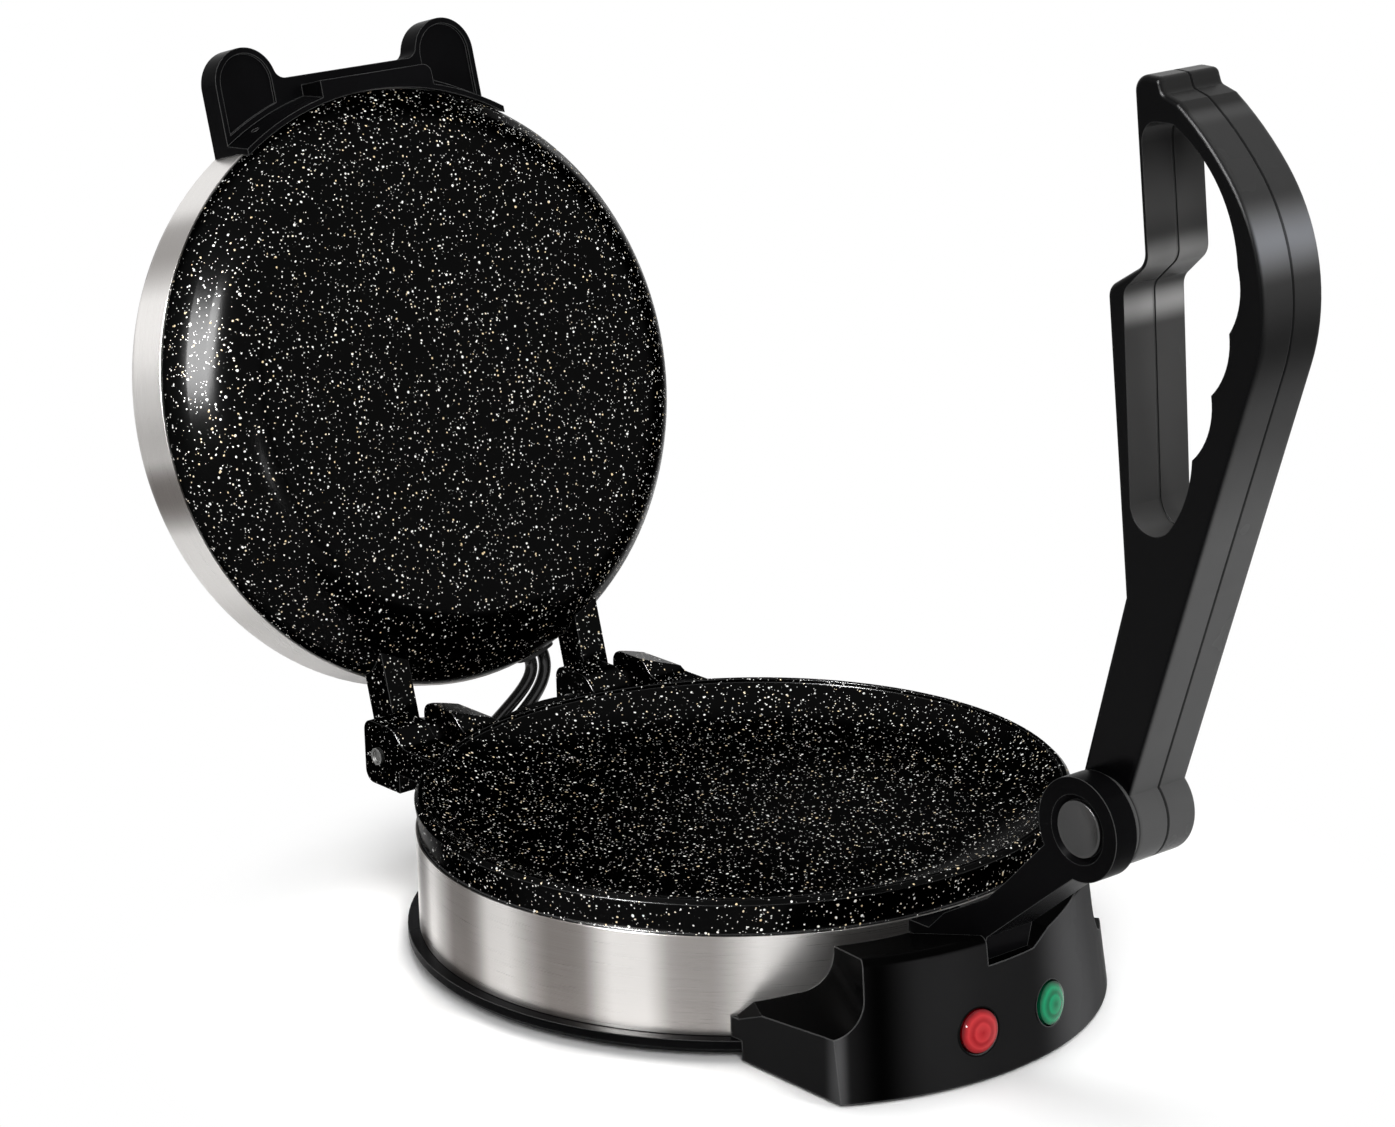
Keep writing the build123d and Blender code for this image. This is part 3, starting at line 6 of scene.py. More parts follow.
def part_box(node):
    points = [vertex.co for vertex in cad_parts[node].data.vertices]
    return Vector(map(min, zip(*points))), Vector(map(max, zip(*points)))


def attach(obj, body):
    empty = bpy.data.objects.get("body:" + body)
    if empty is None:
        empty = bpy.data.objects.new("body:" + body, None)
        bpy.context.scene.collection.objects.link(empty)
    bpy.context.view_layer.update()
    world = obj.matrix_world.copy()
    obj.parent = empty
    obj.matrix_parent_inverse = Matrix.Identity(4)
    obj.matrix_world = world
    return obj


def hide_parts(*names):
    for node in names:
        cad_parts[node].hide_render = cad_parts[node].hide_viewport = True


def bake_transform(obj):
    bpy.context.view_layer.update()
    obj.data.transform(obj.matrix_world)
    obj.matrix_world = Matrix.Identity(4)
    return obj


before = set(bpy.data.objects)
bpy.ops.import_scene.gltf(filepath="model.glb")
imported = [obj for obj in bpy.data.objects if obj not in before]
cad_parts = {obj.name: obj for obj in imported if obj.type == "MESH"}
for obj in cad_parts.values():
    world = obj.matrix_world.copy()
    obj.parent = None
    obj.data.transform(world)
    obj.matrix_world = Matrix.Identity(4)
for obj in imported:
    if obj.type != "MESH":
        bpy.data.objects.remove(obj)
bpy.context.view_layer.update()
scene = bpy.context.scene

# ---------------------------------------------------------------- camera
# A long lens at the front left of the machine, looking down on the dish at a shallow angle,
# with the control housing nearest.
camera_place = (-0.9447, -1.12944, 0.59338)
azimuth, elevation, roll = np.radians((-39.32, 16.9, -1.38))
back = np.array(
    (
        np.sin(azimuth) * np.cos(elevation),
        -np.cos(azimuth) * np.cos(elevation),
        np.sin(elevation),
    )
)
level = np.array((np.cos(azimuth), np.sin(azimuth), 0.0))
upright = np.cross(back, level)
camera_x = level * np.cos(roll) + upright * np.sin(roll)
camera_y = upright * np.cos(roll) - level * np.sin(roll)
camera = bpy.data.objects.new("camera", bpy.data.cameras.new("camera"))
scene.collection.objects.link(camera)
camera_frame = np.eye(4)
camera_frame[:3] = np.transpose((camera_x, camera_y, back, camera_place))
camera.matrix_world = Matrix(camera_frame.tolist())
camera.data.sensor_fit = "HORIZONTAL"
camera.data.sensor_width = 36.0
camera.data.lens = 106.0
camera.data.clip_end = 20.0
scene.camera = camera
scene.view_settings.view_transform = "Standard"


# ---------------------------------------------------------------- floor and studio
# A white table that keeps the machine's soft shadow, in a white room that shiny parts mirror.
# Three panels only light the machine. A tall card and a small spark are only mirrored in it.
class Signal:
    """A shader socket that takes part in sums, products and powers like a number."""

    def __init__(self, finish, socket):
        self.finish = finish
        self.socket = socket

    def joined(self, operation, first, second):
        """One Math node on two numbers or sockets."""
        return self.finish.node("ShaderNodeMath", {"operation": operation}, {0: first, 1: second})

    def __add__(self, other):
        return self.joined("ADD", self, other)

    __radd__ = __add__

    def __sub__(self, other):
        return self.joined("SUBTRACT", self, other)

    def __rsub__(self, other):
        return self.joined("SUBTRACT", other, self)

    def __mul__(self, other):
        return self.joined("MULTIPLY", self, other)

    __rmul__ = __mul__

    def __truediv__(self, other):
        return self.joined("DIVIDE", self, other)

    def powered(self, other):
        return self.joined("POWER", self, other)

    def at_least(self, other):
        """The larger of the two at each point."""
        return self.joined("MAXIMUM", self, other)

    def faded(self, low, high):
        """0 below low, 1 above high, and smooth between them."""
        return self.finish.node(
            "ShaderNodeMapRange",
            {"interpolation_type": "SMOOTHSTEP"},
            {"Value": self, "From Min": low, "From Max": high},
        )


class Finish:
    """A procedural material built up around one Principled surface."""

    def __init__(self, name, **constants):
        self.material = bpy.data.materials.new(name)
        self.material.use_nodes = True
        self.tree = self.material.node_tree
        self.surface = self.tree.nodes["Principled BSDF"]
        for socket, value in constants.items():
            self.surface.inputs[socket.replace("_", " ")].default_value = value

    def node(self, kind, settings, inputs, output=0):
        """Any shader node: its settings first, then the values or links of its sockets."""
        made = self.tree.nodes.new(kind)
        for key, value in settings.items():
            if key == "stops":
                ramp = made.color_ramp
                while len(ramp.elements) < len(value):
                    ramp.elements.new(0.5)
                for element, (position, shade) in zip(ramp.elements, value):
                    element.position = position
                    element.color = (*shade, 1.0)
            else:
                setattr(made, key, value)
        for key, value in inputs.items():
            if isinstance(value, Signal):
                self.tree.links.new(value.socket, made.inputs[key])
            else:
                made.inputs[key].default_value = value
        return Signal(self, made.outputs[output])

    def place(self):
        """The piece's own coordinates in metres."""
        return self.node("ShaderNodeTexCoord", {}, {}, "Object")

    def along(self, vector, axis):
        """One coordinate of a place or a direction: X, Y or Z."""
        return self.node("ShaderNodeSeparateXYZ", {}, {0: vector}, axis)

    def vectors(self, operation, first, second, output="Value"):
        """One Vector Math node on two vectors."""
        return self.node("ShaderNodeVectorMath", {"operation": operation}, {0: first, 1: second}, output)

    def angle(self, rise, run):
        """The angle in radians whose tangent is rise over run."""
        return self.node("ShaderNodeMath", {"operation": "ARCTAN2"}, {0: rise, 1: run})

    def noise(self, scale, detail=2.0):
        """Soft random tones between 0 and 1, on the piece's own coordinates."""
        settings = {"Vector": self.place(), "Scale": scale, "Detail": detail}
        return self.node("ShaderNodeTexNoise", {}, settings)

    def mixed(self, share, first, second):
        """A colour between two others."""
        return self.node("ShaderNodeMix", {"data_type": "RGBA"}, {0: share, 6: first, 7: second}, 2)

    def feed(self, socket, signal):
        """Link a signal to the surface."""
        self.tree.links.new(signal.socket, self.surface.inputs[socket])

    def relief(self, height, depth, edge_radius):
        """A bump from a height pattern, over edges that are rounded off by the edge radius."""
        rounded = self.node("ShaderNodeBevel", {"samples": 4}, {"Radius": edge_radius})
        bump = self.node(
            "ShaderNodeBump", {}, {"Height": height, "Distance": depth, "Strength": 1.0, "Normal": rounded}
        )
        self.feed("Normal", bump)

    def edges(self, edge_radius):
        """1 along sharp edges, within the edge radius, and 0 on the faces."""
        rounded = self.node("ShaderNodeBevel", {"samples": 6}, {"Radius": edge_radius})
        flat = self.node("ShaderNodeNewGeometry", {}, {}, "Normal")
        return (1 - self.vectors("DOT_PRODUCT", rounded, flat)).faded(0.02, 0.2)


def colour(red, green, blue):
    """An opaque colour."""
    return (red, green, blue, 1.0)


def grey(shade):
    """An opaque neutral grey."""
    return (shade, shade, shade, 1.0)


floor_reach = 6
floor_corners = [(x * floor_reach, y * floor_reach, 0) for x, y in ((-1, -1), (1, -1), (1, 1), (-1, 1))]
floor_mesh = bpy.data.meshes.new("floor")
floor_mesh.from_pydata(floor_corners, [], [(0, 1, 2, 3)])
floor = bpy.data.objects.new("floor", floor_mesh)
scene.collection.objects.link(floor)
table = Finish("table_white", Roughness=0.9, Specular_IOR_Level=0.0)
table_rays = table.node("ShaderNodeLightPath", {}, {}, "Is Camera Ray")
table.feed("Base Color", table.mixed(table_rays, grey(0.8), grey(1)))
# The table fades into the white room between two distances from the middle of the machine.
table_middle, shadow_reach, white_reach = (-0.01, -0.03, 0.0), 0.15, 0.25
table_distance = table.vectors("DISTANCE", table.place(), table_middle)
table_glow = table.node("ShaderNodeEmission", {}, {"Color": grey(1), "Strength": 1.0})
table_end = table.node(
    "ShaderNodeMixShader",
    {},
    {
        0: table_distance.faded(shadow_reach, white_reach) * table_rays,
        1: Signal(table, table.surface.outputs[0]),
        2: table_glow,
    },
)
table.tree.links.new(table_end.socket, table.tree.nodes["Material Output"].inputs["Surface"])
floor_mesh.materials.append(table.material)

# The room lights the machine at half strength, and looks plain white itself and in mirrors.
world = bpy.data.worlds.new("room")
scene.world = world
world.use_nodes = True
room = world.node_tree
rays = room.nodes.new("ShaderNodeLightPath")
shown = room.nodes.new("ShaderNodeMath")
shown.operation = "MAXIMUM"
room.links.new(rays.outputs["Is Camera Ray"], shown.inputs[0])
room.links.new(rays.outputs["Is Transmission Ray"], shown.inputs[1])
reflected = room.nodes.new("ShaderNodeMath")
reflected.operation = "MAXIMUM"
room.links.new(rays.outputs["Is Glossy Ray"], reflected.inputs[0])
room.links.new(shown.outputs[0], reflected.inputs[1])
lit = room.nodes["Background"]
lit.inputs["Color"].default_value = grey(1)
lit.inputs["Strength"].default_value = 0.5
seen = room.nodes.new("ShaderNodeBackground")
seen.inputs["Color"].default_value = grey(1)
seen.inputs["Strength"].default_value = 1.0
blend = room.nodes.new("ShaderNodeMixShader")
room.links.new(reflected.outputs[0], blend.inputs[0])
room.links.new(lit.outputs[0], blend.inputs[1])
room.links.new(seen.outputs[0], blend.inputs[2])
room.links.new(blend.outputs[0], room.nodes["World Output"].inputs["Surface"])


def lamp(name, place, aim, width, height, power, lights=True, mirrored=True):
    """A soft oval lamp that looks from its place to its aim. It lights matt surfaces, is
    mirrored in glossy ones, or does both."""
    data = bpy.data.lights.new(name, "AREA")
    data.shape = "ELLIPSE"
    data.size = width
    data.size_y = height
    data.energy = power
    made = bpy.data.objects.new(name, data)
    scene.collection.objects.link(made)
    made.location = place
    made.rotation_euler = (Vector(aim) - Vector(place)).to_track_quat("-Z", "Y").to_euler()
    made.visible_diffuse = lights
    made.visible_glossy = mirrored


lamp("shoulder_card", (-1.5, -0.2, 1.0), (-0.107, 0.192, 0.217), 0.48, 1.0, 170, lights=False)
lamp("left_panel", (-1.0, -1.6, 1.2), (-0.08, 0.12, 0.22), 0.8, 0.8, 20, mirrored=False)
lamp("front_panel", (0.75, -2.0, 1.0), (0, -0.15, 0.2), 0.35, 1.1, 14, mirrored=False)
lamp("lens_spark", (-0.4, -2.1, 0.357), (-0.04, -0.166, 0.0227), 0.12, 0.12, 4, lights=False)
lamp("top_panel", (0.2, 0.2, 2.2), (0, 0, 0.1), 1.2, 1.2, 18, mirrored=False)


# ---------------------------------------------------------------- moulded black plastics
# The tray, the control housing, the press arm, the lid bracket and the handle are injection
# moulded in a black plastic with a fine satin grain. Their sharp edges carry a thin painted
# highlight line.
def dress(finish, *nodes):
    """Give CAD nodes a finish."""
    for node in nodes:
        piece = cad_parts[node]
        for holder in piece.material_slots:
            holder.material = finish.material


def moulded(name, edge_radius, gloss):
    """Black plastic of a low gloss, with a fine satin grain and edges rounded by the edge radius.

    It also gives the slow cloud that varies the plastic and the mask of its edges, where a thin
    painted highlight line goes.
    """
    plastic = Finish(name, Specular_IOR_Level=gloss)
    cloud = plastic.noise(22.0, 3.0)
    plastic.feed("Roughness", 0.2 + cloud * 0.12)
    plastic.relief(plastic.noise(1600.0), 0.000015, edge_radius)
    return plastic, cloud, plastic.edges(edge_radius)


def soft_bands(place, level, bands):
    """A level plus soft bands along a place. A band has its middle, its half width and its
    weight, and adds weight * (1 - smoothstep(|place - middle| / half width))."""
    shade = level
    for middle, half, weight in bands:
        away = place.finish.node("ShaderNodeMath", {"operation": "ABSOLUTE"}, {0: place - middle})
        shade = shade + (1 - away.faded(0.0, half)) * weight
    return shade


satin_black, satin_cloud, satin_edge_highlight = moulded("satin_black_plastic", 0.0007, 0.01)
satin_face = satin_black.mixed(satin_cloud, grey(0.001), colour(0.005, 0.005, 0.0056))
# A thin painted highlight line runs along the edges.
satin_black.feed("Base Color", satin_black.mixed(satin_edge_highlight * 0.8, satin_face, grey(0.1)))
dress(satin_black, "base_tray", "housing_base_plate", "press_arm", "lid_bracket", "lamp_holders")

# The housing is moulded smoother than the rest. Its front is curved round an upright axis.
# Its walls carry painted shade and painted highlights round that axis, paler at the corners,
# and its top is left darker as painted shade.
face_centre = np.array((-0.022, -0.053, 0.0))
housing_black, housing_cloud, housing_edge_highlight = moulded("housing_plastic", 0.0011, 0.001)
housing_facing = housing_black.node("ShaderNodeTexCoord", {}, {}, "Normal")
housing_top_shade = housing_black.along(housing_facing, "Z").faded(0.2, 0.5)
housing_spot = housing_black.place()
housing_turn = float(np.degrees(1.0)) * housing_black.angle(
    housing_black.along(housing_spot, "X") - float(face_centre[0]),
    float(face_centre[1]) - housing_black.along(housing_spot, "Y"),
)
# Painted light in bands, in degrees round the axis from the front's middle: the side walls, a
# painted highlight line down the left corner with a painted shade beside it, and a broad
# painted sheen towards the right corner.
housing_painted_light = soft_bands(
    housing_turn,
    0.015,
    (
        (-80, 30, 0.012),
        (-33, 2.3, 0.072),
        (-25.5, 9, -0.014),
        (-12, 10, 0.003),
        (20, 12, 0.045),
        (29, 23, 0.048),
        (80, 30, 0.012),
    ),
)
# The scoop in its left corner is painted darker as shade, above the low wall in front of it.
housing_rise = housing_black.along(housing_spot, "Z")
housing_scoop_shade = (1 - housing_turn.faded(-33.2, -30.9)) * housing_rise.faded(0.026, 0.034)
housing_share = (0.9 - housing_cloud * 0.3) * (1 - housing_scoop_shade)
housing_wall = housing_black.mixed(housing_share * housing_painted_light, grey(0), colour(0.98, 0.98, 1.0))
housing_face = housing_black.mixed(housing_top_shade, housing_wall, grey(0.001))
# A thin painted highlight line runs along the housing's edges.
housing_black.feed("Base Color", housing_black.mixed(housing_edge_highlight * 0.7, housing_face, grey(0.16)))
dress(housing_black, "front_housing")

# The cap over the pivot pin is polished, so its dished face catches a soft ring of light.
polished, polished_cloud, polished_edge_highlight = moulded("polished_cap", 0.0005, 0.5)
polished_face = polished.mixed(polished_cloud, grey(0.004), grey(0.012))
# A thin painted highlight line runs along the cap's edges.
polished.feed("Base Color", polished.mixed(polished_edge_highlight * 0.8, polished_face, grey(0.08)))
dress(polished, "pivot_cap")

# The handle's flat sides are smooth and dark. Its outer wall and the walls of its opening are
# painted greyer, in long soft painted shades and highlights.
grip_black, grip_cloud, grip_edge_highlight = moulded("handle_plastic", 0.0007, 0.05)
grip_facing = grip_black.along(grip_black.node("ShaderNodeTexCoord", {}, {}, "Normal"), "X")
grip_side = grip_black.node("ShaderNodeMath", {"operation": "ABSOLUTE"}, {0: grip_facing})
grip_height = grip_black.along(grip_black.place(), "Z") * 1000
grip_depth = grip_black.along(grip_black.place(), "Y") * 1000
# Painted light in bands by the height over the floor in millimetres. The outer wall is painted
# darker upwards, with a painted highlight where it turns over at the top. The opening has
# painted highlights at its foot and where its wall steps.
spine_painted_light = soft_bands(
    grip_height,
    0.068 - grip_height.faded(205, 262) * 0.04,
    ((278, 25, -0.023), (312, 14, 0.125), (357, 12, 0.14)),
)
opening_painted_light = soft_bands(
    grip_height,
    0.048 - grip_height.faded(316, 340) * 0.034,
    ((198, 18, 0.07), (281.5, 7.5, 0.205), (289, 5, -0.022), (300, 8, 0.12), (308, 8, -0.012)),
)
# The painted highlight on the outer wall's turn is a little blue.
spine_turn_highlight = soft_bands(grip_height, 0, ((312, 14, 1),))
spine_highlight_tint = grip_black.mixed(spine_turn_highlight, grey(1), colour(0.974, 1.0, 1.078))
spine_colour = grip_black.mixed(spine_painted_light, grey(0), spine_highlight_tint)
opening_colour = grip_black.mixed(opening_painted_light, grey(0), colour(1.0, 0.99, 0.98))
# The opening's painted light holds behind the outer wall and above the hub's end.
grip_inside = grip_depth.faded(-245, -240) * grip_height.faded(185, 190)
grip_painted_light = grip_black.mixed(grip_inside, spine_colour, opening_colour)
grip_wall = 1 - grip_side.faded(0.35, 0.9)
grip_share = grip_wall * (0.8 + grip_cloud * 0.4)
grip_face = grip_black.mixed(grip_share, colour(0.001, 0.001, 0.0012), grip_painted_light)
# A thin painted highlight line runs along the handle's edges.
grip_black.feed("Base Color", grip_black.mixed(grip_edge_highlight * 0.4, grip_face, grey(0.08)))
dress(grip_black, "handle_left", "handle_right")

# ---------------------------------------------------------------- cast plates
# The dish plate and the domed lid plate are die-cast aluminium under a black non-stick coat
# that is spattered with white and cream flecks.
speckled = Finish("speckled_coat", Specular_Tint=grey(0.4))
spot = speckled.place()
wander = speckled.node("ShaderNodeTexNoise", {}, {"Vector": spot, "Scale": 420.0, "Detail": 1.0}, "Color")
wavy = speckled.node(
    "ShaderNodeVectorMath",
    {"operation": "MULTIPLY_ADD"},
    {0: wander, 1: (0.0008, 0.0008, 0.0008), 2: spot},
)


def fleck_field(cells, smallest, largest):
    """Round flecks, one to a cell at most: 1 inside a fleck, and the cell's own random number."""
    settings = {"Vector": wavy, "Scale": cells, "Randomness": 1.0}
    distance = speckled.node("ShaderNodeTexVoronoi", {}, settings, "Distance")
    own = speckled.node("ShaderNodeTexVoronoi", {}, settings, "Color")
    chance = speckled.node("ShaderNodeSeparateColor", {}, {0: own})
    reach = smallest + chance * chance * (largest - smallest)
    return 1 - (distance / reach).faded(0.7, 1.05), chance


# Large drops and small dots lie anywhere. Dust shows only in patches, and along fine veins,
# where it strings together.
drops, _ = fleck_field(350.0, 0.09, 0.22)
dots, dot_chance = fleck_field(600.0, 0.11, 0.27)
dust, _ = fleck_field(780.0, 0.13, 0.26)
veins = speckled.node(
    "ShaderNodeTexVoronoi",
    {"feature": "DISTANCE_TO_EDGE"},
    {"Vector": wavy, "Scale": 220.0, "Randomness": 1.0},
    "Distance",
)
patches = speckled.noise(260.0, 1.0)
strings = dust * (1 - veins.faded(0.045, 0.07)) * patches.faded(0.48, 0.56)
flecks = drops.at_least(dots * (0.7 + dot_chance * 0.3)).at_least(strings * 0.85)
white, ivory, cream, sand = (0.9, 0.9, 0.88), (0.95, 0.94, 0.9), (0.85, 0.72, 0.5), (0.8, 0.62, 0.36)
fleck_colour = speckled.node(
    "ShaderNodeValToRGB",
    {"stops": [(0.0, white), (0.86, ivory), (0.95, cream), (1.0, sand)]},
    {0: dot_chance},
)
# The coat is painted a little paler in the middle of the dish, as a soft painted sheen.
sheen_middle = (0.03, -0.03, 0.046)
dish_sheen = 1 - speckled.vectors("DISTANCE", spot, sheen_middle).faded(0.02, 0.1)
coat_with_sheen = speckled.mixed(dish_sheen, grey(0.004), grey(0.018))
# A thin painted highlight line runs along the coat's sharp edges.
coat = speckled.mixed(speckled.edges(0.0006) * 0.7, coat_with_sheen, grey(0.12))
speckled.feed("Base Color", speckled.mixed(flecks, coat, fleck_colour))
speckled.feed("Metallic", 1 - flecks)
speckled.feed("Roughness", 0.2 + flecks * 0.3)
speckled.relief(flecks, 0.00003, 0.0008)
dress(speckled, "lower_plate", "upper_plate")

# ---------------------------------------------------------------- brushed covers
# The band round the base and the lid's cover are stainless sheet, brushed round the ring.
# Their tone changes in tall soft stripes of painted reflection.
def brushed_sheet(name, tilt, centre, bands):
    """Sheet steel rolled into a ring about an axis that tilts back by an angle in radians.

    Hairlines run round the ring, and broad soft bands of painted reflection lie across them,
    as lighter and darker stripes. A band has the angle of its middle round the axis, its half
    width, both in degrees, and what it adds to the tone: a smooth step of the cosine of the
    angle from its middle.
    """
    plain_tone, darkest_tone, hair_contrast = 0.62, 0.1, 0.06
    sheet = Finish(name, Metallic=1.0)
    aligned = sheet.node(
        "ShaderNodeMapping",
        {"vector_type": "TEXTURE"},
        {"Vector": sheet.place(), "Location": centre, "Rotation": (tilt, 0.0, 0.0)},
    )
    around = sheet.angle(sheet.along(aligned, "Y"), sheet.along(aligned, "X"))
    stretched = sheet.node("ShaderNodeMapping", {}, {"Vector": aligned, "Scale": (30.0, 30.0, 5200.0)})
    hairs = sheet.node("ShaderNodeTexNoise", {}, {"Vector": stretched, "Scale": 1.0, "Detail": 2.0})
    # Painted reflection: soft lighter and darker stripes across the hairlines.
    painted_stripes = 0.0
    for middle, half, weight in bands:
        turned = around - float(np.radians(middle))
        nearness = sheet.node("ShaderNodeMath", {"operation": "COSINE"}, {0: turned})
        painted_stripes = painted_stripes + nearness.faded(float(np.cos(np.radians(half))), 1.0) * weight
    tone = (plain_tone + painted_stripes + (hairs - 0.5) * hair_contrast).at_least(darkest_tone)
    sheet.feed("Base Color", sheet.mixed(tone, colour(0.024, 0.01, 0.003), colour(0.8, 0.78, 0.76)))
    sheet.feed("Roughness", 0.24 + hairs * 0.1)
    sheet.relief(hairs, 0.000006, 0.0003)
    return sheet


band_steel = brushed_sheet(
    "brushed_band",
    0.0,
    (0.0, 0.0, 0.0),
    (
        (146, 8, 0.35),
        (155, 6, -0.5),
        (163, 8, 0.2),
        (172, 10, -0.46),
        (-173, 9, 0.15),
        (-163, 11, -0.42),
        (-150, 8, 0.2),
        (-137, 10, -0.3),
        (-124, 12, 0.3),
        (-80, 20, 0.25),
        (-40, 16, -0.4),
        (-10, 20, 0.3),
        (28, 16, -0.35),
        (62, 20, 0.3),
        (95, 18, -0.3),
        (128, 16, 0.2),
    ),
)
dress(band_steel, "base_band")

# The lid stands open: its axis is that of the base, turned back about the hinge.
hinge_back, hinge_up, lid_turn = 0.1382, 0.051, float(np.radians(104.8))
lid_middle = (
    0.0,
    hinge_back - hinge_back * np.cos(lid_turn) - hinge_up * np.sin(lid_turn),
    hinge_up + hinge_back * np.sin(lid_turn) - hinge_up * np.cos(lid_turn),
)
lid_steel = brushed_sheet(
    "brushed_cover",
    -lid_turn,
    lid_middle,
    (
        (-162, 18, 0.35),
        (169, 8, -0.46),
        (154, 15, 0.3),
        (129, 16, 0.2),
        (-144, 10, -0.3),
        (-129, 10, 0.25),
        (-100, 22, 0.2),
        (-60, 16, -0.35),
        (-20, 20, 0.3),
        (20, 16, -0.35),
        (60, 20, 0.25),
        (90, 14, -0.2),
    ),
)
dress(lid_steel, "lid_cover")

# ---------------------------------------------------------------- rubber, metal and small parts
# Feet, grommets and gland are soft black rubber. Screws, pivot pin, heaters and heat shields
# are plated steel. Thermostats, fuse and terminal block are glazed ceramic. The bush is brass.
rubber = Finish("black_rubber")
pores = rubber.noise(900.0)
rubber.feed("Base Color", rubber.mixed(pores, grey(0.012), grey(0.024)))
rubber.feed("Roughness", 0.55 + pores * 0.2)
rubber.relief(pores, 0.00003, 0.0004)
dress(rubber, "rubber_feet", "lead_grommet", "lid_grommet", "cord_gland")

plated = Finish("plated_steel", Metallic=1.0)
wear = plated.noise(400.0, 3.0)
plated.feed("Base Color", plated.mixed(wear, grey(0.5), colour(0.75, 0.74, 0.72)))
plated.feed("Roughness", 0.18 + wear * 0.2)
dress(
    plated,
    "centre_bolt",
    "tray_screws",
    "band_screws",
    "housing_screws",
    "arm_screws",
    "pivot_pin",
    "pivot_nut",
    "bracket_screws",
    "cover_screws",
    "handle_screws",
    "lower_heater",
    "upper_heater",
    "lower_heat_shield",
    "upper_heat_shield",
)

# The hinge pins and their nuts are of darker steel, paler along their edges.
pin_steel = Finish("darkened_steel", Metallic=1.0)
pin_wear = pin_steel.noise(900.0)
pin_edges = pin_steel.edges(0.0005)
pin_face = pin_steel.mixed(pin_wear, grey(0.05), colour(0.16, 0.16, 0.155))
pin_steel.feed("Base Color", pin_steel.mixed(pin_edges, pin_face, colour(0.5, 0.5, 0.49)))
pin_steel.feed("Roughness", 0.25 + pin_wear * 0.2)
dress(pin_steel, "hinge_pins", "hinge_nuts")

insulator = Finish("cream_insulator")
glaze = insulator.noise(120.0)
insulator.feed("Base Color", insulator.mixed(glaze, colour(0.7, 0.66, 0.58), colour(0.85, 0.81, 0.72)))
insulator.feed("Roughness", 0.3 + glaze * 0.2)
dress(insulator, "lower_thermostat", "upper_thermostat", "terminal_block", "thermal_fuse")

turned_brass = Finish("turned_brass", Metallic=1.0)
tarnish = turned_brass.noise(600.0)
turned_brass.feed("Base Color", turned_brass.mixed(tarnish, colour(0.6, 0.42, 0.16), colour(0.8, 0.62, 0.3)))
turned_brass.feed("Roughness", 0.2 + tarnish * 0.15)
dress(turned_brass, "hub_bush")

# ---------------------------------------------------------------- pilot lamps
# Clear coloured lenses, moulded with rings inside, over small neon lamps. Each looks out of
# a black bezel ring that is pressed into the housing's curved front.
def add_mesh(name, points, faces, material):
    """A new smooth piece from its points and faces."""
    mesh = bpy.data.meshes.new(name)
    mesh.from_pydata(points.tolist(), [], faces)
    mesh.polygons.foreach_set("use_smooth", np.full(len(mesh.polygons), True))
    mesh.materials.append(material)
    piece = bpy.data.objects.new(name, mesh)
    scene.collection.objects.link(piece)
    return piece


def grid_faces(rows, columns, closed):
    """Quads between the points of a grid whose columns go right round; its rows may close too."""
    row = np.arange(rows if closed else rows - 1)[:, None]
    column = np.arange(columns)[None, :]
    after = (row + 1) % rows
    beside = (column + 1) % columns
    here, there = row * columns, after * columns
    corners = (here + column, here + beside, there + beside, there + column)
    return np.stack([np.broadcast_to(corner, (row.size, columns)) for corner in corners], -1).reshape(-1, 4)


def turned_ring(centre, axis, radii, heights, steps=96):
    """A closed profile of radii and heights turned round an axis: centre + radius * (level *
    cos t + upright * sin t) + height * axis."""
    across = np.cross((0.0, 0.0, 1.0), axis)
    across /= np.linalg.norm(across)
    upward = np.cross(axis, across)
    turn = np.linspace(0.0, 2 * np.pi, steps, endpoint=False)
    circle = np.cos(turn)[:, None] * across + np.sin(turn)[:, None] * upward
    radii = np.asarray(radii)[:, None, None]
    heights = np.asarray(heights)[:, None, None]
    rings = centre + radii * circle + heights * axis
    return rings.reshape(-1, 3), grid_faces(len(radii), steps, True).tolist()


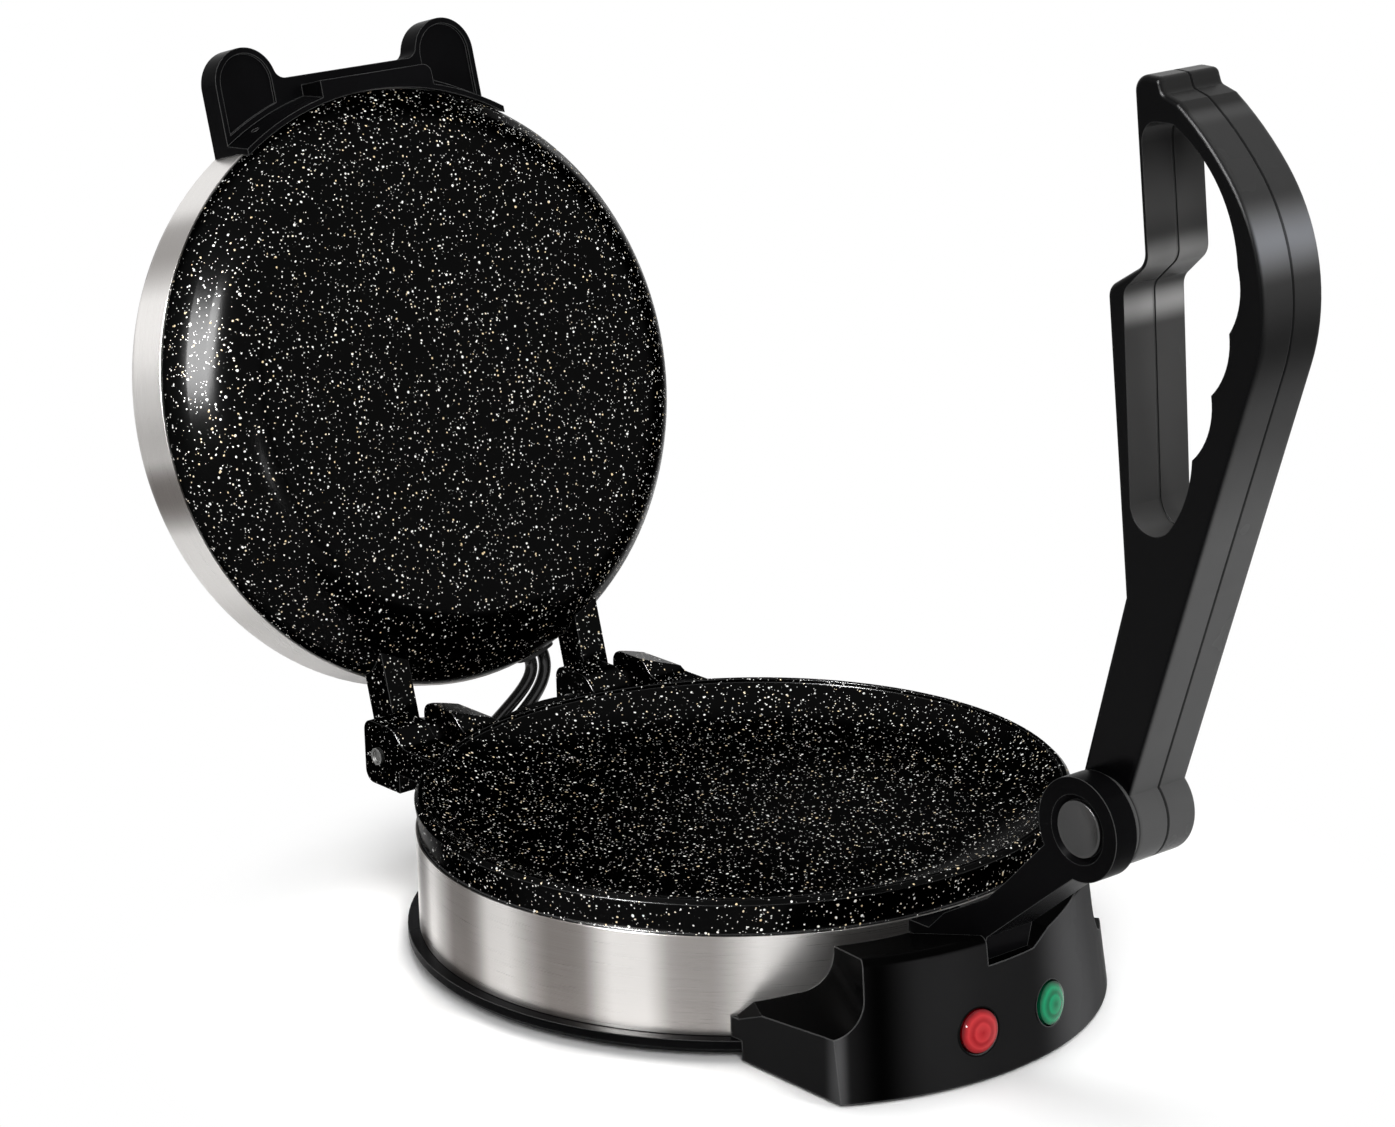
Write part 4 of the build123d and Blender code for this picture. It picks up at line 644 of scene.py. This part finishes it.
# The housing's wall lies the sunk depth outside a lens's middle, and its draft leans it back.
lens_radius, lens_sunk, face_draft = 0.0078, 0.0011, 0.12
bezel_inner, bezel_outer, bezel_proud = 0.0081, 0.0095, 0.0008
bezel_slope, bezel_root = 0.0004, -0.002
profile_radii = (
    bezel_inner,
    bezel_inner,
    bezel_inner + bezel_slope,
    bezel_outer - bezel_slope,
    bezel_outer,
    bezel_outer,
)
profile_heights = (bezel_root, 0.0, bezel_proud, bezel_proud, 0.0, bezel_root)
bezel_black, bezel_cloud, bezel_edge_highlight = moulded("bezel_plastic", 0.0002, 0.05)
bezel_face = bezel_black.mixed(bezel_cloud, grey(0.001), grey(0.002))
# A thin painted highlight line runs along the bezel's edges.
bezel_black.feed("Base Color", bezel_black.mixed(bezel_edge_highlight * 0.3, bezel_face, grey(0.03)))
for node, rim_shadow, middle, bright in (
    ("lamp_lens_red", (0.11, 0.0, 0.002), (0.3, 0.004, 0.008), (0.46, 0.02, 0.025)),
    ("lamp_lens_green", (0.0, 0.03, 0.012), (0.0, 0.12, 0.05), (0.0, 0.24, 0.1)),
):
    low, high = (np.array(corner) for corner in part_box(node))
    lens_middle = (low + high) / 2
    outward = lens_middle - face_centre
    outward[2] = 0.0
    outward /= np.linalg.norm(outward)
    outward = (outward + np.array((0.0, 0.0, face_draft))) / np.hypot(1.0, face_draft)
    lens = Finish(node, Roughness=0.1, Specular_IOR_Level=0.15, Coat_Roughness=0.03)
    from_middle = lens.vectors("SUBTRACT", lens.place(), lens_middle, "Vector")
    depth = lens.vectors("DOT_PRODUCT", from_middle, outward)
    reach = lens.vectors("DISTANCE", lens.place(), lens_middle)
    # From 0 in the middle of the lens to 1 at its rim.
    radial = (reach * reach - depth * depth).at_least(0.0).powered(0.5) / lens_radius
    swirl = lens.noise(260.0)
    # The moulded rings show as lighter painted bands, and each lens is painted darkest at its rim as the
    # bezel's shadow.
    rings = lens.node(
        "ShaderNodeValToRGB",
        {
            "stops": [
                (0.0, middle),
                (0.4, bright),
                (0.5, middle),
                (0.58, middle),
                (0.76, bright),
                (0.88, middle),
                (1.0, rim_shadow),
            ]
        },
        {0: radial + (swirl - 0.5) * 0.12},
    )
    lens.feed("Base Color", rings)
    lens.feed("Coat Weight", 0.25 - radial.faded(0.9, 1.0) * 0.1)
    dress(lens, node)
    seat = lens_middle + outward * lens_sunk
    points, faces = turned_ring(seat, outward, profile_radii, profile_heights)
    bezel = add_mesh(node.replace("lens", "bezel"), points, faces, bezel_black.material)
    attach(bezel, "base")

# ---------------------------------------------------------------- leads
# Two round leads in a glossy black sheath. They leave the back of the band side by side and
# enter the lid's cover.
sheath = Finish("glossy_sheath", Specular_IOR_Level=0.5)
ripple = sheath.noise(70.0)
sheath.feed("Base Color", sheath.mixed(ripple, grey(0.004), grey(0.012)))
sheath.feed("Roughness", 0.14 + ripple * 0.1)
# Where they leave the band and enter the cover: the angle round the wall in degrees, the
# wall's radius and the height on it.
outlet_angle, band_radius, outlet_height = 98.0, 0.125, 0.031
inlet_angle, cover_radius, inlet_height = 73.9, 0.1223, 0.0834
lead_radius, lead_spacing = 0.0026, 0.007
lead_inside, lead_straight, lead_inner_end = 0.014, 0.0025, 0.006
lead_sweep, lead_drop = 0.045, 0.024
upright_axis = np.array((0.0, 0.0, 1.0))
right_axis = np.array((1.0, 0.0, 0.0))
lid_up = np.array((0.0, np.sin(lid_turn), np.cos(lid_turn)))


def wall_point(origin, upward, angle, radius, height):
    """A point on a round wall about an upward axis, with the wall's outward and level
    directions there: origin + radius * (right * cos a + forward * sin a) + height * upward."""
    turn = np.radians(angle)
    forward = np.cross(upward, right_axis)
    outward = np.cos(turn) * right_axis + np.sin(turn) * forward
    level = np.cos(turn) * forward - np.sin(turn) * right_axis
    return np.asarray(origin) + radius * outward + height * upward, outward, level


def tube(path, radius, steps=32):
    """A round tube along a path: path + radius * (side * cos t + over * sin t), where side and
    over are square to the path and side stays as level with the bend as it can."""
    along = np.gradient(path, axis=0)
    along /= np.linalg.norm(along, axis=1)[:, None]
    bend = np.cross(along[0], along[-1])
    side = bend - (along @ bend)[:, None] * along
    side /= np.linalg.norm(side, axis=1)[:, None]
    over = np.cross(along, side)
    turn = np.linspace(0.0, 2 * np.pi, steps, endpoint=False)[None, :, None]
    rings = path[:, None] + radius * (side[:, None] * np.cos(turn) + over[:, None] * np.sin(turn))
    ends = [list(range(steps)), list(range(len(path) * steps - 1, (len(path) - 1) * steps - 1, -1))]
    return rings.reshape(-1, 3), grid_faces(len(path), steps, False)[:, ::-1].tolist() + ends


def lead_path(outlet, out, inlet, away, shift):
    """Straight out of the band, a cubic Bezier sweep, and straight into the lid: the sweep is
    (1-t)^3 a + 3 (1-t)^2 t b + 3 (1-t) t^2 c + t^3 d."""
    a, d = outlet + out * lead_straight, inlet + away * lead_straight
    b, c = outlet + out * (lead_sweep + shift), inlet + away * (lead_drop - shift)
    t = np.linspace(0.0, 1.0, 61)[:, None]
    sweep = (1 - t) ** 3 * a + 3 * (1 - t) ** 2 * t * b + 3 * (1 - t) * t**2 * c + t**3 * d
    return np.vstack((outlet - out * lead_inside, sweep, inlet - away * lead_inner_end))


outlet, lead_out, outlet_level = wall_point(
    (0.0, 0.0, 0.0), upright_axis, outlet_angle, band_radius, outlet_height
)
inlet, lead_away, inlet_level = wall_point(lid_middle, lid_up, inlet_angle, cover_radius, inlet_height)
for node, shift in (("lead_left", lead_spacing / 2), ("lead_right", -lead_spacing / 2)):
    path = lead_path(outlet + outlet_level * shift, lead_out, inlet + inlet_level * shift, lead_away, shift)
    lead = add_mesh(node.replace("lead", "sheathed_lead"), *tube(path, lead_radius), sheath.material)
    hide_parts(node)
    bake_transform(lead)
